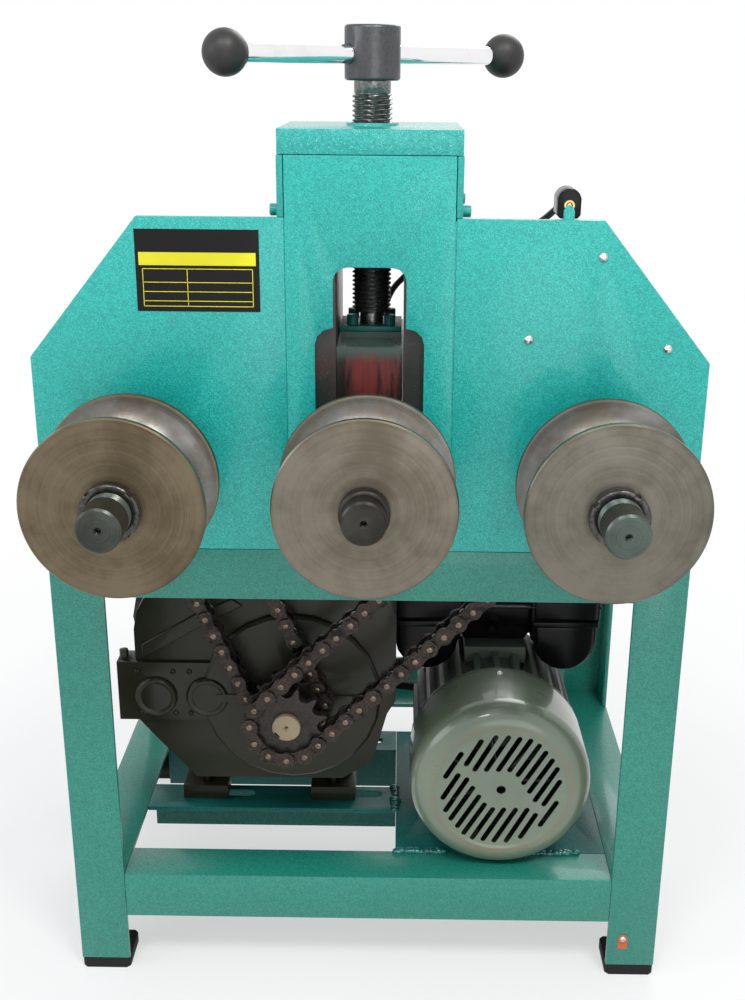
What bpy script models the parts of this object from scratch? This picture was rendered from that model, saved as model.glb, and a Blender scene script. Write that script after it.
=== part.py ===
import math

import bmesh
import bpy
from mathutils import Matrix, Vector

for leftover in list(bpy.data.objects):
    bpy.data.objects.remove(leftover, do_unlink=True)

# Sizes are in metres. Places are measured from a datum: X = 0 is the middle of the machine, Y = 0 is
# the front face of its panels and Z = 0 is the floor.
stand_width = 0.600
stand_depth = 0.448
front_reach = 0.195
seat_gap = 0.0003
overrun = 0.004

# Facets round the rollers and large covers, round shafts and bores, and round small pieces
fine_facets = 24
round_facets = 16
small_facets = 12

# Angle-iron stand
angle_size = 0.050
angle_wall = 0.005
foot_height = 0.012
foot_corner = 0.004
lower_ring_top = 0.1155
upper_ring_top = 0.4715
band_wall = 0.006
front_cross_y = 0.184
rear_cross_y = 0.272
cross_end_x = 0.0277
adjusting_slot_width = 0.013
adjusting_slot_length = 0.060
adjusting_slot_offset = 0.025
motor_slot_width = 0.010
motor_slot_length = 0.030

# Rollers and the shafts that carry them
shaft_spacing = 0.410
shaft_rise = 0.0835
middle_shaft_rise = 0.0015
shaft_radius = 0.0185
roller_radius = 0.0765
roller_front = -0.1434
roller_width = 0.0892
groove_radius = 0.038
roller_edge = 0.0015
collar_radius = 0.030
collar_front = -0.0539
collar_length = 0.0116
shaft_rear = 0.155
shaft_end_bevel = 0.002
ring_nut_radius = 0.02475
ring_nut_length = 0.009
ring_nut_notch = 0.007
ring_nut_notch_depth = 0.003
middle_shaft_front = -0.175
middle_shaft_rear = 0.148
middle_cap_radius = 0.021
middle_cap_length = 0.0113

# Roller chains of 3/4 inch pitch on sprockets of twelve teeth
chain_pitch = 0.01905
teeth = 12
right_run_links = 21
left_run_links = 16
right_chain_y = 0.028
left_chain_y = 0.068
chain_roller_radius = 0.0052
seat_radius = 0.00625
tip_height = 0.00446
tooth_width = 0.0111
sprocket_hub_radius = 0.025
sprocket_hub_length = 0.026
plate_half_height = 0.0085
waist_half_height = 0.006
inner_plate_near = 0.0063
inner_plate_far = 0.0087
outer_plate_near = 0.0090
outer_plate_far = 0.0114
pin_end = 0.0120
pin_block_reach = 0.006

# Panels that close the front, with their side bearings
panel_wall = 0.006
panel_top = 0.772
panel_side_top = 0.650
panel_slope_width = 0.100
panel_seam = 0.0008
shaft_hole_radius = 0.024
tab_width = 0.0096
tab_wall = 0.003
tab_bottom = 0.740
tab_top = 0.784
tab_x = 0.1694
carrier_y = 0.112
carrier_wall = 0.008
carrier_side_wall = 0.004
carrier_inner_x = 0.080
carrier_height = 0.1585
carrier_slope_width = 0.060
carrier_slope_height = 0.050
carrier_boss_radius = 0.035
carrier_boss_rear = 0.148
bearing_flange_radius = 0.055
bearing_flange_wall = 0.012
bearing_barrel_radius = 0.042
bearing_front = -0.0420

# Column that guides the sliding block
column_half_width = 0.0731
column_depth = 0.160
column_top = 0.8232
front_plate_wall = 0.008
rear_plate_wall = 0.0077
window_half_width = 0.0318
window_top = 0.7304
window_corner = 0.012
window_shoulder = 0.6778
window_shoulder_round = 0.015
window_wide_half = 0.0481
window_bottom = 0.490
guide_bottom = 0.510
cheek_wall = 0.0055
channel_inner_x = 0.0298
channel_web = 0.008
channel_flange = 0.010
cap_half_width = 0.0785
cap_thickness = 0.0203
nut_radius = 0.0235
nut_height = 0.0067

# Sliding block with its pressing screw
block_below_shaft = 0.0515
block_above_shaft = 0.1035
block_boss_half = 0.028
block_boss_height = 0.0055
pocket_depth = 0.014
pocket_radius = 0.015
screw_foot_radius = 0.014
screw_foot_drop = 0.0006
retainer_thickness = 0.0047
retainer_hole_radius = 0.0112
retainer_bolt_offset = 0.017
retainer_bolt_radius = 0.00525
retainer_bolt_height = 0.009
screw_neck_radius = 0.01075
screw_neck_length = 0.0185
screw_radius = 0.018
screw_thread_top = 0.871
screw_relief_radius = 0.0163
screw_edge = 0.001
spigot_radius = 0.010
spigot_length = 0.012
hub_radius = 0.0245
hub_bottom = 0.881
hub_height = 0.0455
hub_edge = 0.003
rod_radius = 0.008
rod_rise = 0.0215
rod_turn = 32.5
ball_radius = 0.019
ball_reach = 0.1414
ball_socket = 0.0123

# Gearbox in front of the belt drive
gearbox_left = -0.2445
gearbox_width = 0.271
gearbox_bottom = 0.177
gearbox_height = 0.211
gearbox_front = 0.095
gearbox_step = 0.150
gearbox_rear = 0.285
gearbox_cover_radius = 0.093
gearbox_cover_wall = 0.010
gearbox_cover_edge = 0.003
output_boss_radius = 0.035
output_boss_height = 0.004
rib_width = 0.009
rib_height = 0.0025
rib_inner_radius = 0.040
rib_outer_radius = 0.078
rib_count = 4
drive_shaft_radius = 0.014
drive_shaft_front = 0.017
drive_shaft_rear = 0.140
centre_hole_radius = 0.003
centre_hole_depth = 0.006
keyway_width = 0.008
keyway_depth = 0.003
keyway_turn = 230
double_hub_rear = 0.0775
input_x = -0.2234
input_z = 0.276
input_shaft_radius = 0.011
input_shaft_front = 0.250
second_cap_offset = 0.0538
bearing_box_left = -0.263
bearing_box_width = 0.126
bearing_box_bottom = 0.248
bearing_box_height = 0.066
bearing_box_front = 0.088
bearing_box_depth = 0.030
bearing_cap_radius = 0.021
bearing_cap_height = 0.004
filler_x = -0.2577
filler_radius = 0.0048
filler_height = 0.008
gearbox_foot_width = 0.050
gearbox_foot_left = -0.187
gearbox_foot_right = -0.043
gearbox_foot_top = 0.132
gearbox_foot_front = 0.153
gearbox_foot_rear = 0.300
gearbox_foot_depth = 0.047
gearbox_bolt_inset = 0.014
gearbox_plinth_front = 0.188
gearbox_plinth_margin = 0.004

# Motor, its fan cover and its belt
motor_x = 0.1343
motor_z = 0.2095
fan_cover_radius = 0.0925
fan_cover_front = 0.0165
fan_cover_rear = 0.105
fan_cover_wall = 0.0025
fan_face_radius = 0.0695
fan_hole_radius = 0.00475
fan_slot_width = 0.0045
fan_front = 0.036
fan_rear = 0.082
fan_radius = 0.078
fan_hub_radius = 0.018
fan_plate_wall = 0.004
fan_blade_wall = 0.003
fan_blade_count = 7
stator_rear = 0.235
front_shield_spigot = 0.010
front_shield_wall = 0.008
fin_root_radius = 0.080
fin_tip_radius = 0.088
fin_count = 26
fin_tip_share = 0.28
fin_root_share = 0.48
pad_half_width = 0.033
pad_height = 0.0923
motor_foot_half_width = 0.070
motor_foot_inner = 0.036
motor_foot_front = 0.128
motor_foot_rear = 0.216
motor_foot_thickness = 0.012
end_shield_radius = 0.084
end_shield_step = 0.252
end_shield_rear = 0.283
end_shield_boss_radius = 0.046
rotor_radius = 0.012
rotor_front = 0.025
rotor_rear = 0.335
belt_y = 0.311
belt_half_width = 0.0065
belt_inner_half_width = 0.0042
belt_height = 0.008
motor_pulley_radius = 0.040
gearbox_pulley_radius = 0.065
pulley_half_width = 0.0115
groove_half_width = 0.0073
groove_floor_half_width = 0.005
groove_depth = 0.010
belt_sink = 0.001
pulley_hub_radius = 0.020
pulley_hub_length = 0.012
terminal_front = 0.165
terminal_rear = 0.250
terminal_half_width = 0.112
terminal_lid_height = 0.041
terminal_top = 0.372
terminal_corner = 0.006
terminal_recess_half_width = 0.038
terminal_recess_depth = 0.022
pod_radius = 0.034
pod_spacing = 0.075
pod_z = 0.310
pedestal_half_width = 0.033
pedestal_flare = 0.005

# Connector on the right panel's tab and the lead that runs from it to the motor
connector_width = 0.0202
connector_bottom = 0.7725
connector_height = 0.0251
connector_depth = 0.027
cable_radius = 0.003
cable_spacing = 0.018
cable_lead = 0.006

# Places worked out from the sizes above
datum_y = (front_reach - stand_depth) / 2
half_stand = stand_width / 2
shaft_x = shaft_spacing / 2
shaft_height = upper_ring_top + shaft_rise
middle_shaft_height = shaft_height + middle_shaft_rise
carrier_top = upper_ring_top + carrier_height
pitch_radius = chain_pitch / (2 * math.sin(math.pi / teeth))
tip_radius = pitch_radius + tip_height
right_centres = right_run_links * chain_pitch
left_centres = left_run_links * chain_pitch
drive_x = (left_centres**2 - right_centres**2) / (2 * shaft_spacing)
drive_z = shaft_height - math.sqrt(right_centres**2 - (shaft_x - drive_x) ** 2)
left_shaft_place = Vector((-shaft_x, shaft_height))
right_shaft_place = Vector((shaft_x, shaft_height))
middle_shaft_place = Vector((0, middle_shaft_height))
drive_place = Vector((drive_x, drive_z))
motor_place = Vector((motor_x, motor_z))
input_place = Vector((input_x, input_z))
screw_y = column_depth / 2
cheek_inner_x = column_half_width + 2 * seat_gap
cheek_outer_x = cheek_inner_x + cheek_wall
column_plate_top = column_top - seat_gap
block_bottom = middle_shaft_height - block_below_shaft
block_top = middle_shaft_height + block_above_shaft
boss_top = block_top + block_boss_height
screw_foot_top = boss_top - screw_foot_drop
screw_neck_top = boss_top + screw_neck_length
rod_height = hub_bottom + rod_rise
front_bolt_y = gearbox_foot_front + gearbox_bolt_inset
cap_bottom = column_top + seat_gap
nut_top = cap_bottom + cap_thickness + nut_height

paints = {
    "upper_paint": ((0.060, 0.470, 0.400), 0.42, 0.0),
    "stand_paint": ((0.050, 0.330, 0.270), 0.45, 0.0),
    "motor_paint": ((0.190, 0.240, 0.170), 0.50, 0.0),
    "gearbox_paint": ((0.032, 0.029, 0.020), 0.50, 0.1),
    "turned_steel": ((0.210, 0.180, 0.150), 0.45, 0.9),
    "bright_steel": ((0.600, 0.590, 0.570), 0.18, 1.0),
    "oiled_steel": ((0.060, 0.045, 0.035), 0.40, 0.8),
    "red_primer": ((0.350, 0.030, 0.030), 0.45, 0.0),
    "blackened": ((0.012, 0.011, 0.012), 0.35, 0.2),
    "black_plastic": ((0.010, 0.010, 0.011), 0.35, 0.0),
    "rubber": ((0.015, 0.015, 0.015), 0.80, 0.0),
}

datum = bpy.data.objects.new("machine_datum", None)
datum.location = (0, datum_y, 0)
bpy.context.collection.objects.link(datum)


def on_axis(axis, first, second, along):
    # X takes (Y, Z) as its cross-section, Y takes (X, Z) and Z takes (X, Y)
    if axis == "X":
        return Vector((along, first, second))
    if axis == "Y":
        return Vector((first, along, second))
    return Vector((first, second, along))


def closed(shape):
    bmesh.ops.recalc_face_normals(shape, faces=shape.faces)
    return shape


def prism(outline, low, high, axis="Z"):
    shape = bmesh.new()
    rings = [[shape.verts.new(on_axis(axis, *point, along)) for point in outline] for along in (low, high)]
    for ring in rings:
        shape.faces.new(ring)
    for here in range(len(outline)):
        there = (here + 1) % len(outline)
        shape.faces.new((rings[0][here], rings[0][there], rings[1][there], rings[1][here]))
    return closed(shape)


def box(x_low, x_high, y_low, y_high, z_low, z_high):
    outline = [(x_low, y_low), (x_high, y_low), (x_high, y_high), (x_low, y_high)]
    return prism(outline, z_low, z_high)


def turned(profile, segments, axis="Z", centre=(0, 0), hollow=False):
    # The profile is a list of (radius, place along the axis); a hollow one closes on itself
    shape = bmesh.new()
    rings = []
    for radius, along in profile:
        turns = [2 * math.pi * step / segments for step in range(segments)] if radius else [0]
        reaches = [(radius * math.cos(turn), radius * math.sin(turn)) for turn in turns]
        places = [(centre[0] + first, centre[1] + second) for first, second in reaches]
        rings.append([shape.verts.new(on_axis(axis, *place, along)) for place in places])
    pairs = list(zip(rings, rings[1:]))
    if hollow:
        pairs.append((rings[-1], rings[0]))
    for first, second in pairs:
        for here in range(segments):
            there = here + 1
            corners = [first[here % len(first)], first[there % len(first)]]
            corners += [second[there % len(second)], second[here % len(second)]]
            shape.faces.new(list(dict.fromkeys(corners)))
    if not hollow:
        for ring in (rings[0], rings[-1]):
            if len(ring) > 1:
                shape.faces.new(ring)
    return closed(shape)


def cylinder(radius, low, high, segments, axis="Z", centre=(0, 0)):
    return turned([(radius, low), (radius, high)], segments, axis, centre)


def running_bore(radius, segments):
    # The flats of a faceted bore clear the corners of the shaft that turns in it
    return (radius + seat_gap) / math.cos(math.pi / segments)


def grouped(shapes):
    # Several closed shapes that stay clear of each other, as one
    whole = bmesh.new()
    for shape in shapes:
        copies = {corner: whole.verts.new(corner.co) for corner in shape.verts}
        for face in shape.faces:
            whole.faces.new([copies[corner] for corner in face.verts])
        shape.free()
    return whole


def arc(centre, radius, start, end, steps):
    turns = [math.radians(start + (end - start) * step / steps) for step in range(steps + 1)]
    return [(centre[0] + radius * math.cos(turn), centre[1] + radius * math.sin(turn)) for turn in turns]


def mirrored(half):
    # Closes the right half of an outline, listed from bottom to top, with its left half
    return list(half) + [(-first, second) for first, second in reversed(half)]


def slot_outline(first, second, width, steps=3):
    heading = math.degrees(math.atan2(second[1] - first[1], second[0] - first[0]))
    ends = arc(second, width / 2, heading - 90, heading + 90, steps)
    return ends + arc(first, width / 2, heading + 90, heading + 270, steps)


def added(name, shape, origin):
    mesh = bpy.data.meshes.new(name)
    shape.transform(Matrix.Translation(-Vector(origin)))
    shape.to_mesh(mesh)
    shape.free()
    item = bpy.data.objects.new(name, mesh)
    item.location = origin
    item.parent = datum
    bpy.context.collection.objects.link(item)
    return item


def painted(item, paint):
    colour, roughness, metallic = paints[paint]
    material = bpy.data.materials.new(f"{item.name}_{paint}")
    material.use_nodes = True
    shader = material.node_tree.nodes["Principled BSDF"]
    shader.inputs["Base Color"].default_value = (*colour, 1)
    shader.inputs["Roughness"].default_value = roughness
    shader.inputs["Metallic"].default_value = metallic
    item.data.materials.append(material)


def node(name, shape, paint, origin=(0, 0, 0), smooth=True):
    item = added(name, shape, origin)
    if smooth:
        item.data.shade_smooth()
        item.data.set_sharp_from_angle(angle=math.radians(34))
    painted(item, paint)
    return item


def changed(item, shape, operation, label):
    tool = added(f"{item.name}_{label}", shape, (0, 0, 0))
    tool.hide_render = True
    tool.display_type = "WIRE"
    step = item.modifiers.new(label, "BOOLEAN")
    step.operation = operation
    step.solver = "EXACT"
    step.object = tool


def cut(item, shape, label):
    changed(item, shape, "DIFFERENCE", label)


def unite(item, shape, label):
    changed(item, shape, "UNION", label)


def axis_point(place, y=0):
    return (place[0], y, place[1])


def angle_outline(corner, first_sign, second_sign):
    legs = [(0, 0), (angle_size, 0), (angle_size, angle_wall), (angle_wall, angle_wall)]
    legs += [(angle_wall, angle_size), (0, angle_size)]
    return [(corner[0] + first_sign * first, corner[1] + second_sign * second) for first, second in legs]


def build_stand():
    rail_end = half_stand - angle_size - seat_gap
    for side, sign in (("left", -1), ("right", 1)):
        for end, corner_y, inward in (("front", 0, 1), ("rear", stand_depth, -1)):
            outline = angle_outline((sign * half_stand, corner_y), -sign, inward)
            bar = prism(outline, foot_height + seat_gap, upper_ring_top)
            node(f"{end}_{side}_leg", bar, "stand_paint", smooth=False)
            pad_x = sign * (half_stand - angle_size / 2)
            pad_y = corner_y + inward * angle_size / 2
            half = angle_size / 2
            trim = half - foot_corner
            outline = [(-trim, -half), (trim, -half), (half, -trim), (half, trim)]
            outline += [(-first, -second) for first, second in outline]
            outline = [(pad_x + first, pad_y + second) for first, second in outline]
            node(f"{end}_{side}_foot", prism(outline, 0, foot_height), "rubber", smooth=False)
        for label, ring_top in (("sill", lower_ring_top), ("top_rail", upper_ring_top)):
            build_side_rail(f"{side}_{label}", sign, ring_top)
    outline = angle_outline((0, lower_ring_top), 1, -1)
    node("front_sill", prism(outline, -rail_end, rail_end, "X"), "stand_paint", smooth=False)
    outline = angle_outline((stand_depth, lower_ring_top - angle_wall), -1, 1)
    node("rear_sill", prism(outline, -rail_end, rail_end, "X"), "stand_paint", smooth=False)
    outline = angle_outline((stand_depth, upper_ring_top), -1, -1)
    node("rear_top_rail", prism(outline, -rail_end, rail_end, "X"), "stand_paint", smooth=False)
    band = box(-rail_end, rail_end, 0, band_wall, upper_ring_top - angle_size, upper_ring_top)
    node("front_band", band, "stand_paint", smooth=False)


def build_side_rail(name, sign, ring_top):
    low = angle_wall + seat_gap
    high = stand_depth - low
    outline = angle_outline((sign * half_stand, ring_top), -sign, -1)
    rail = node(name, prism(outline, low, high, "Y"), "stand_paint", smooth=False)
    edges = sorted((sign * (half_stand - low), sign * (half_stand + overrun)))
    cope = angle_size + seat_gap
    bottom = ring_top - angle_size - overrun
    front = box(*edges, low - overrun, cope, bottom, ring_top + overrun)
    rear = box(*edges, stand_depth - cope, high + overrun, bottom, ring_top + overrun)
    cut(rail, grouped([front, rear]), "leg_copes")


def build_cross_members():
    low = -(half_stand - angle_size - seat_gap)
    rows = (("front", front_cross_y, -1), ("rear", rear_cross_y, 1))
    for end, corner_y, inward in rows:
        outline = angle_outline((corner_y, lower_ring_top), inward, -1)
        bar = prism(outline, low, cross_end_x, "X")
        member = node(f"{end}_cross_angle", bar, "stand_paint", smooth=False)
        slot_y = front_bolt_y if end == "front" else corner_y + angle_size / 2
        reach = (adjusting_slot_length - adjusting_slot_width) / 2
        slots = []
        for bolt_x in (gearbox_foot_left, gearbox_foot_right):
            middle = bolt_x + adjusting_slot_offset
            outline = slot_outline((middle - reach, slot_y), (middle + reach, slot_y), adjusting_slot_width)
            slots.append(prism(outline, lower_ring_top - angle_wall - overrun, lower_ring_top + overrun))
        cut(member, grouped(slots), "adjusting_slots")
    front = angle_size + seat_gap
    rear = rear_cross_y + angle_size
    low = cross_end_x + seat_gap
    high = half_stand - angle_size - seat_gap
    plate = box(low, high, front, rear, lower_ring_top - angle_wall, lower_ring_top)
    plate = node("motor_base_plate", plate, "stand_paint", smooth=False)
    slots = []
    bolt_x = (motor_foot_half_width + motor_foot_inner) / 2
    for side in (-1, 1):
        for bolt_y in (motor_foot_front + motor_slot_length, motor_foot_rear - motor_slot_length):
            reach = (motor_slot_length - motor_slot_width) / 2
            middle = motor_x + side * bolt_x
            outline = slot_outline((middle - reach, bolt_y), (middle + reach, bolt_y), motor_slot_width)
            slots.append(prism(outline, lower_ring_top - angle_wall - overrun, lower_ring_top + overrun))
    cut(plate, grouped(slots), "motor_slots")


def build_panels():
    bottom = upper_ring_top + seat_gap
    slope_x = half_stand - panel_slope_width
    for side, sign in (("left", -1), ("right", 1)):
        inner_x = column_half_width + seat_gap
        if side == "right":
            inner_x += panel_seam
        outline = [(half_stand, bottom), (half_stand, panel_side_top), (slope_x, panel_top)]
        outline += [(inner_x, panel_top), (inner_x, bottom)]
        outline = [(sign * first, second) for first, second in outline]
        panel = node(f"{side}_panel", prism(outline, 0, panel_wall, "Y"), "upper_paint", smooth=False)
        place = (sign * shaft_x, shaft_height)
        hole = cylinder(shaft_hole_radius, -overrun, panel_wall + overrun, round_facets, "Y", place)
        cut(panel, hole, "shaft_hole")
        if side == "right":
            radius = tab_width / 2
            outline = [(tab_x - radius, tab_bottom), (tab_x + radius, tab_bottom)]
            outline += arc((tab_x, tab_top - radius), radius, 0, 180, 4)
            unite(panel, prism(outline, panel_wall / 2, panel_wall + tab_wall, "Y"), "tab")
        build_carrier(side, sign)
        build_front_bearing(side, sign)


def build_carrier(side, sign):
    bottom = upper_ring_top + seat_gap
    rear = carrier_y + carrier_wall
    slope_x = half_stand - carrier_slope_width
    slope_bottom = carrier_top - carrier_slope_height
    outline = [(carrier_inner_x, bottom), (half_stand, bottom), (half_stand, slope_bottom)]
    outline += [(slope_x, carrier_top), (carrier_inner_x, carrier_top)]
    outline = [(sign * first, second) for first, second in outline]
    carrier = node(f"{side}_bearing_carrier", prism(outline, carrier_y, rear, "Y"), "stand_paint")
    edges = sorted((sign * (half_stand - carrier_side_wall), sign * half_stand))
    front = panel_wall + seat_gap
    wall = box(*edges, front, carrier_y + carrier_wall / 2, bottom, slope_bottom)
    unite(carrier, wall, "side_wall")
    place = (sign * shaft_x, shaft_height)
    inside = carrier_y + carrier_wall / 2
    boss = cylinder(carrier_boss_radius, inside, carrier_boss_rear, round_facets, "Y", place)
    unite(carrier, boss, "boss")
    rear = carrier_boss_rear + overrun
    bore = running_bore(shaft_radius, round_facets)
    bore = cylinder(bore, carrier_y - overrun, rear, round_facets, "Y", place)
    cut(carrier, bore, "bore")


def build_front_bearing(side, sign):
    place = (sign * shaft_x, shaft_height)
    bore = running_bore(shaft_radius, round_facets)
    rear = -seat_gap
    step = rear - bearing_flange_wall
    profile = [(bore, rear), (bearing_flange_radius, rear), (bearing_flange_radius, step)]
    profile += [(bearing_barrel_radius, step), (bearing_barrel_radius, bearing_front), (bore, bearing_front)]
    shape = turned(profile, round_facets, "Y", place, hollow=True)
    node(f"{side}_front_bearing", shape, "turned_steel")


def window_outline():
    shoulder_x = window_wide_half - window_shoulder_round
    shoulder_z = window_shoulder - window_shoulder_round
    corner = (window_half_width - window_corner, window_top - window_corner)
    half = arc((shoulder_x, window_bottom + window_shoulder_round), window_shoulder_round, -90, 0, 3)
    half += arc((shoulder_x, shoulder_z), window_shoulder_round, 0, 90, 3)
    half += [(window_half_width, window_shoulder)]
    half += arc(corner, window_corner, 0, 90, 3)
    return mirrored(half)


def build_column():
    bottom = upper_ring_top + seat_gap
    width = column_half_width
    plate = box(-width, width, 0, front_plate_wall, bottom, column_plate_top)
    plate = node("column_front_plate", plate, "upper_paint", smooth=False)
    cut(plate, prism(window_outline(), -overrun, front_plate_wall + overrun, "Y"), "window")
    front = column_depth - rear_plate_wall
    plate = box(-width, width, front, column_depth, guide_bottom, column_plate_top)
    plate = node("column_rear_plate", plate, "stand_paint", smooth=False)
    cut(plate, prism(window_outline(), front - overrun, column_depth + overrun, "Y"), "window")
    for side, sign in (("left", -1), ("right", 1)):
        build_guide(side, sign)
    cap = box(-cap_half_width, cap_half_width, 0, column_depth, cap_bottom, cap_bottom + cap_thickness)
    cap = node("column_cap", cap, "upper_paint")
    nut = cylinder(nut_radius, cap_bottom + cap_thickness / 2, nut_top, round_facets, "Z", (0, screw_y))
    unite(cap, nut, "nut")
    bore = running_bore(screw_radius, round_facets)
    bore = cylinder(bore, cap_bottom - overrun, nut_top + overrun, round_facets, "Z", (0, screw_y))
    cut(cap, bore, "bore")


def build_guide(side, sign):
    front = front_plate_wall + seat_gap
    rear = column_depth - rear_plate_wall - seat_gap
    top = column_plate_top
    edges = sorted((sign * channel_inner_x, sign * cheek_outer_x))
    guide = node(f"{side}_guide", box(*edges, front, rear, guide_bottom, top), "oiled_steel", smooth=False)
    edges = sorted((sign * cheek_inner_x, sign * cheek_outer_x))
    cheek = box(*edges, panel_wall + seat_gap, column_depth, guide_bottom, top)
    unite(guide, cheek, "cheek")
    head = box(*edges, 0, column_depth / 2, panel_top + seat_gap, top)
    unite(guide, head, "head")
    edges = sorted((sign * (channel_inner_x + channel_web), sign * cheek_inner_x))
    hollow = box(*edges, front + channel_flange, rear - channel_flange, guide_bottom - overrun, top + overrun)
    cut(guide, hollow, "channel")


def build_carriage():
    half = channel_inner_x - seat_gap
    front = front_plate_wall + 2 * seat_gap
    rear = column_depth - rear_plate_wall - 2 * seat_gap
    block = node("carriage_block", box(-half, half, front, rear, block_bottom, block_top), "red_primer")
    boss_front = screw_y - block_boss_half
    boss_rear = screw_y + block_boss_half
    boss = box(-block_boss_half, block_boss_half, boss_front, boss_rear, block_top - overrun, boss_top)
    unite(block, boss, "boss")
    floor = boss_top - pocket_depth
    pocket = cylinder(pocket_radius, floor, boss_top + overrun, round_facets, "Z", (0, screw_y))
    cut(block, pocket, "pocket")
    low = front - overrun
    high = rear + overrun
    bore = running_bore(shaft_radius, round_facets)
    bore = cylinder(bore, low, high, round_facets, "Y", middle_shaft_place)
    cut(block, bore, "bore")

    low = boss_top + seat_gap
    high = low + retainer_thickness
    plate = box(-block_boss_half, block_boss_half, boss_front, boss_rear, low, high)
    plate = node("screw_retainer", plate, "upper_paint")
    heads = []
    for x in (-retainer_bolt_offset, retainer_bolt_offset):
        for y in (screw_y - retainer_bolt_offset, screw_y + retainer_bolt_offset):
            top = high + retainer_bolt_height
            heads.append(cylinder(retainer_bolt_radius, low + retainer_thickness / 2, top, 8, "Z", (x, y)))
    unite(plate, grouped(heads), "bolt_heads")
    hole = cylinder(retainer_hole_radius, low - overrun, high + overrun, round_facets, "Z", (0, screw_y))
    cut(plate, hole, "hole")


def build_screw():
    foot_low = boss_top - pocket_depth + screw_edge
    spigot_low = hub_bottom - seat_gap
    profile = [(screw_foot_radius, foot_low), (screw_foot_radius, screw_foot_top)]
    profile += [(screw_neck_radius, screw_foot_top), (screw_neck_radius, screw_neck_top)]
    profile += [(screw_radius - screw_edge, screw_neck_top), (screw_radius, screw_neck_top + screw_edge)]
    profile += [(screw_radius, screw_thread_top - screw_edge), (screw_relief_radius, screw_thread_top)]
    profile += [(screw_relief_radius, spigot_low), (spigot_radius, spigot_low)]
    profile += [(spigot_radius, hub_bottom + spigot_length)]
    axis = (0, screw_y, 0)
    node("lead_screw", turned(profile, round_facets, "Z", (0, screw_y)), "bright_steel", axis)

    hub_top = hub_bottom + hub_height
    socket = spigot_radius + seat_gap
    profile = [(0, hub_bottom + spigot_length + seat_gap), (socket, hub_bottom + spigot_length + seat_gap)]
    profile += [(socket, hub_bottom)]
    profile += arc((hub_radius - hub_edge, hub_bottom + hub_edge), hub_edge, -90, 0, 2)
    profile += arc((hub_radius - hub_edge, hub_top - hub_edge), hub_edge, 0, 90, 2)
    hub = node("handle_hub", turned(profile, round_facets, "Z", (0, screw_y)), "blackened", axis)
    turn = Matrix.Translation(axis) @ Matrix.Rotation(math.radians(rod_turn), 4, "Z")
    reach = hub_radius + overrun
    bore = cylinder(rod_radius + seat_gap, -reach, reach, small_facets, "X", (0, rod_height))
    bore.transform(turn)
    cut(hub, bore, "rod_bore")

    rod_reach = ball_reach - ball_radius + ball_socket
    rod = cylinder(rod_radius, -rod_reach, rod_reach, small_facets, "X", (0, rod_height))
    rod.transform(turn)
    node("handle_rod", rod, "bright_steel", axis)
    socket = rod_radius + seat_gap
    opening = math.degrees(math.asin(socket / ball_radius))
    sphere = arc((0, ball_reach), ball_radius, opening - 90, 90, 6)
    profile = [(0, rod_reach + seat_gap), (socket, rod_reach + seat_gap), *sphere[:-1]]
    profile += [(0, ball_reach + ball_radius)]
    for side, sign in (("left", 180), ("right", 0)):
        ball = turned(profile, small_facets, "X", (0, rod_height))
        ball.transform(turn @ Matrix.Rotation(math.radians(sign), 4, "Z"))
        node(f"{side}_ball_knob", ball, "blackened", axis)


def roller_shape(place):
    bore = shaft_radius + seat_gap
    rear = roller_front + roller_width
    middle = roller_front + roller_width / 2
    edge = roller_radius - roller_edge
    rim = [(roller_radius, middle - groove_radius)]
    for step in range(1, 6):
        turn = math.pi * step / 6
        rim.append((roller_radius - groove_radius * math.sin(turn), middle - groove_radius * math.cos(turn)))
    rim.append((roller_radius, middle + groove_radius))
    profile = [(bore, roller_front), (edge, roller_front), (roller_radius, roller_front + roller_edge)]
    profile += rim
    profile += [(roller_radius, rear - roller_edge), (edge, rear), (bore, rear)]
    return turned(profile, fine_facets, "Y", place, hollow=True)


def side_shaft_shape(place):
    collar_rear = collar_front + collar_length
    bevel = shaft_radius - shaft_end_bevel
    profile = [(bevel, -front_reach), (shaft_radius, -front_reach + shaft_end_bevel)]
    profile += [(shaft_radius, collar_front), (collar_radius, collar_front)]
    profile += [(collar_radius, collar_rear), (shaft_radius, collar_rear)]
    profile += [(shaft_radius, shaft_rear)]
    return turned(profile, round_facets, "Y", place)


def ring_nut_shape(place):
    outline = []
    notch = math.degrees(ring_nut_notch / ring_nut_radius)
    floor = ring_nut_radius - ring_nut_notch_depth
    for step in range(6):
        middle = 60 * step + 30
        outline += arc(place, floor, middle - notch / 2, middle + notch / 2, 1)
        outline += arc(place, ring_nut_radius, middle + notch / 2, middle + 60 - notch / 2, 2)
    rear = roller_front - seat_gap
    return prism(outline, rear - ring_nut_length, rear, "Y")


def sprocket_outline(place, first_seat):
    outline = []
    for tooth in range(teeth):
        turn = first_seat + 2 * math.pi * tooth / teeth
        radial = Vector((math.cos(turn), math.sin(turn)))
        tangent = Vector((-radial.y, radial.x))
        for bend in (-55, 0, 55):
            bend = math.radians(bend)
            reach = seat_radius * (math.sin(bend) * tangent - math.cos(bend) * radial)
            outline.append(place + pitch_radius * radial + reach)
        for tip_share in (0.43, 0.57):
            tip = turn + 2 * math.pi * tip_share / teeth
            outline.append(place + tip_radius * Vector((math.cos(tip), math.sin(tip))))
    return outline


def first_seat_turn(start, end):
    run = end - start
    return math.atan2(run.y, run.x) + math.pi / teeth


def tooth_ring(place, other, middle):
    outline = sprocket_outline(place, first_seat_turn(place, other))
    return prism(outline, middle - tooth_width / 2, middle + tooth_width / 2, "Y")


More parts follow.
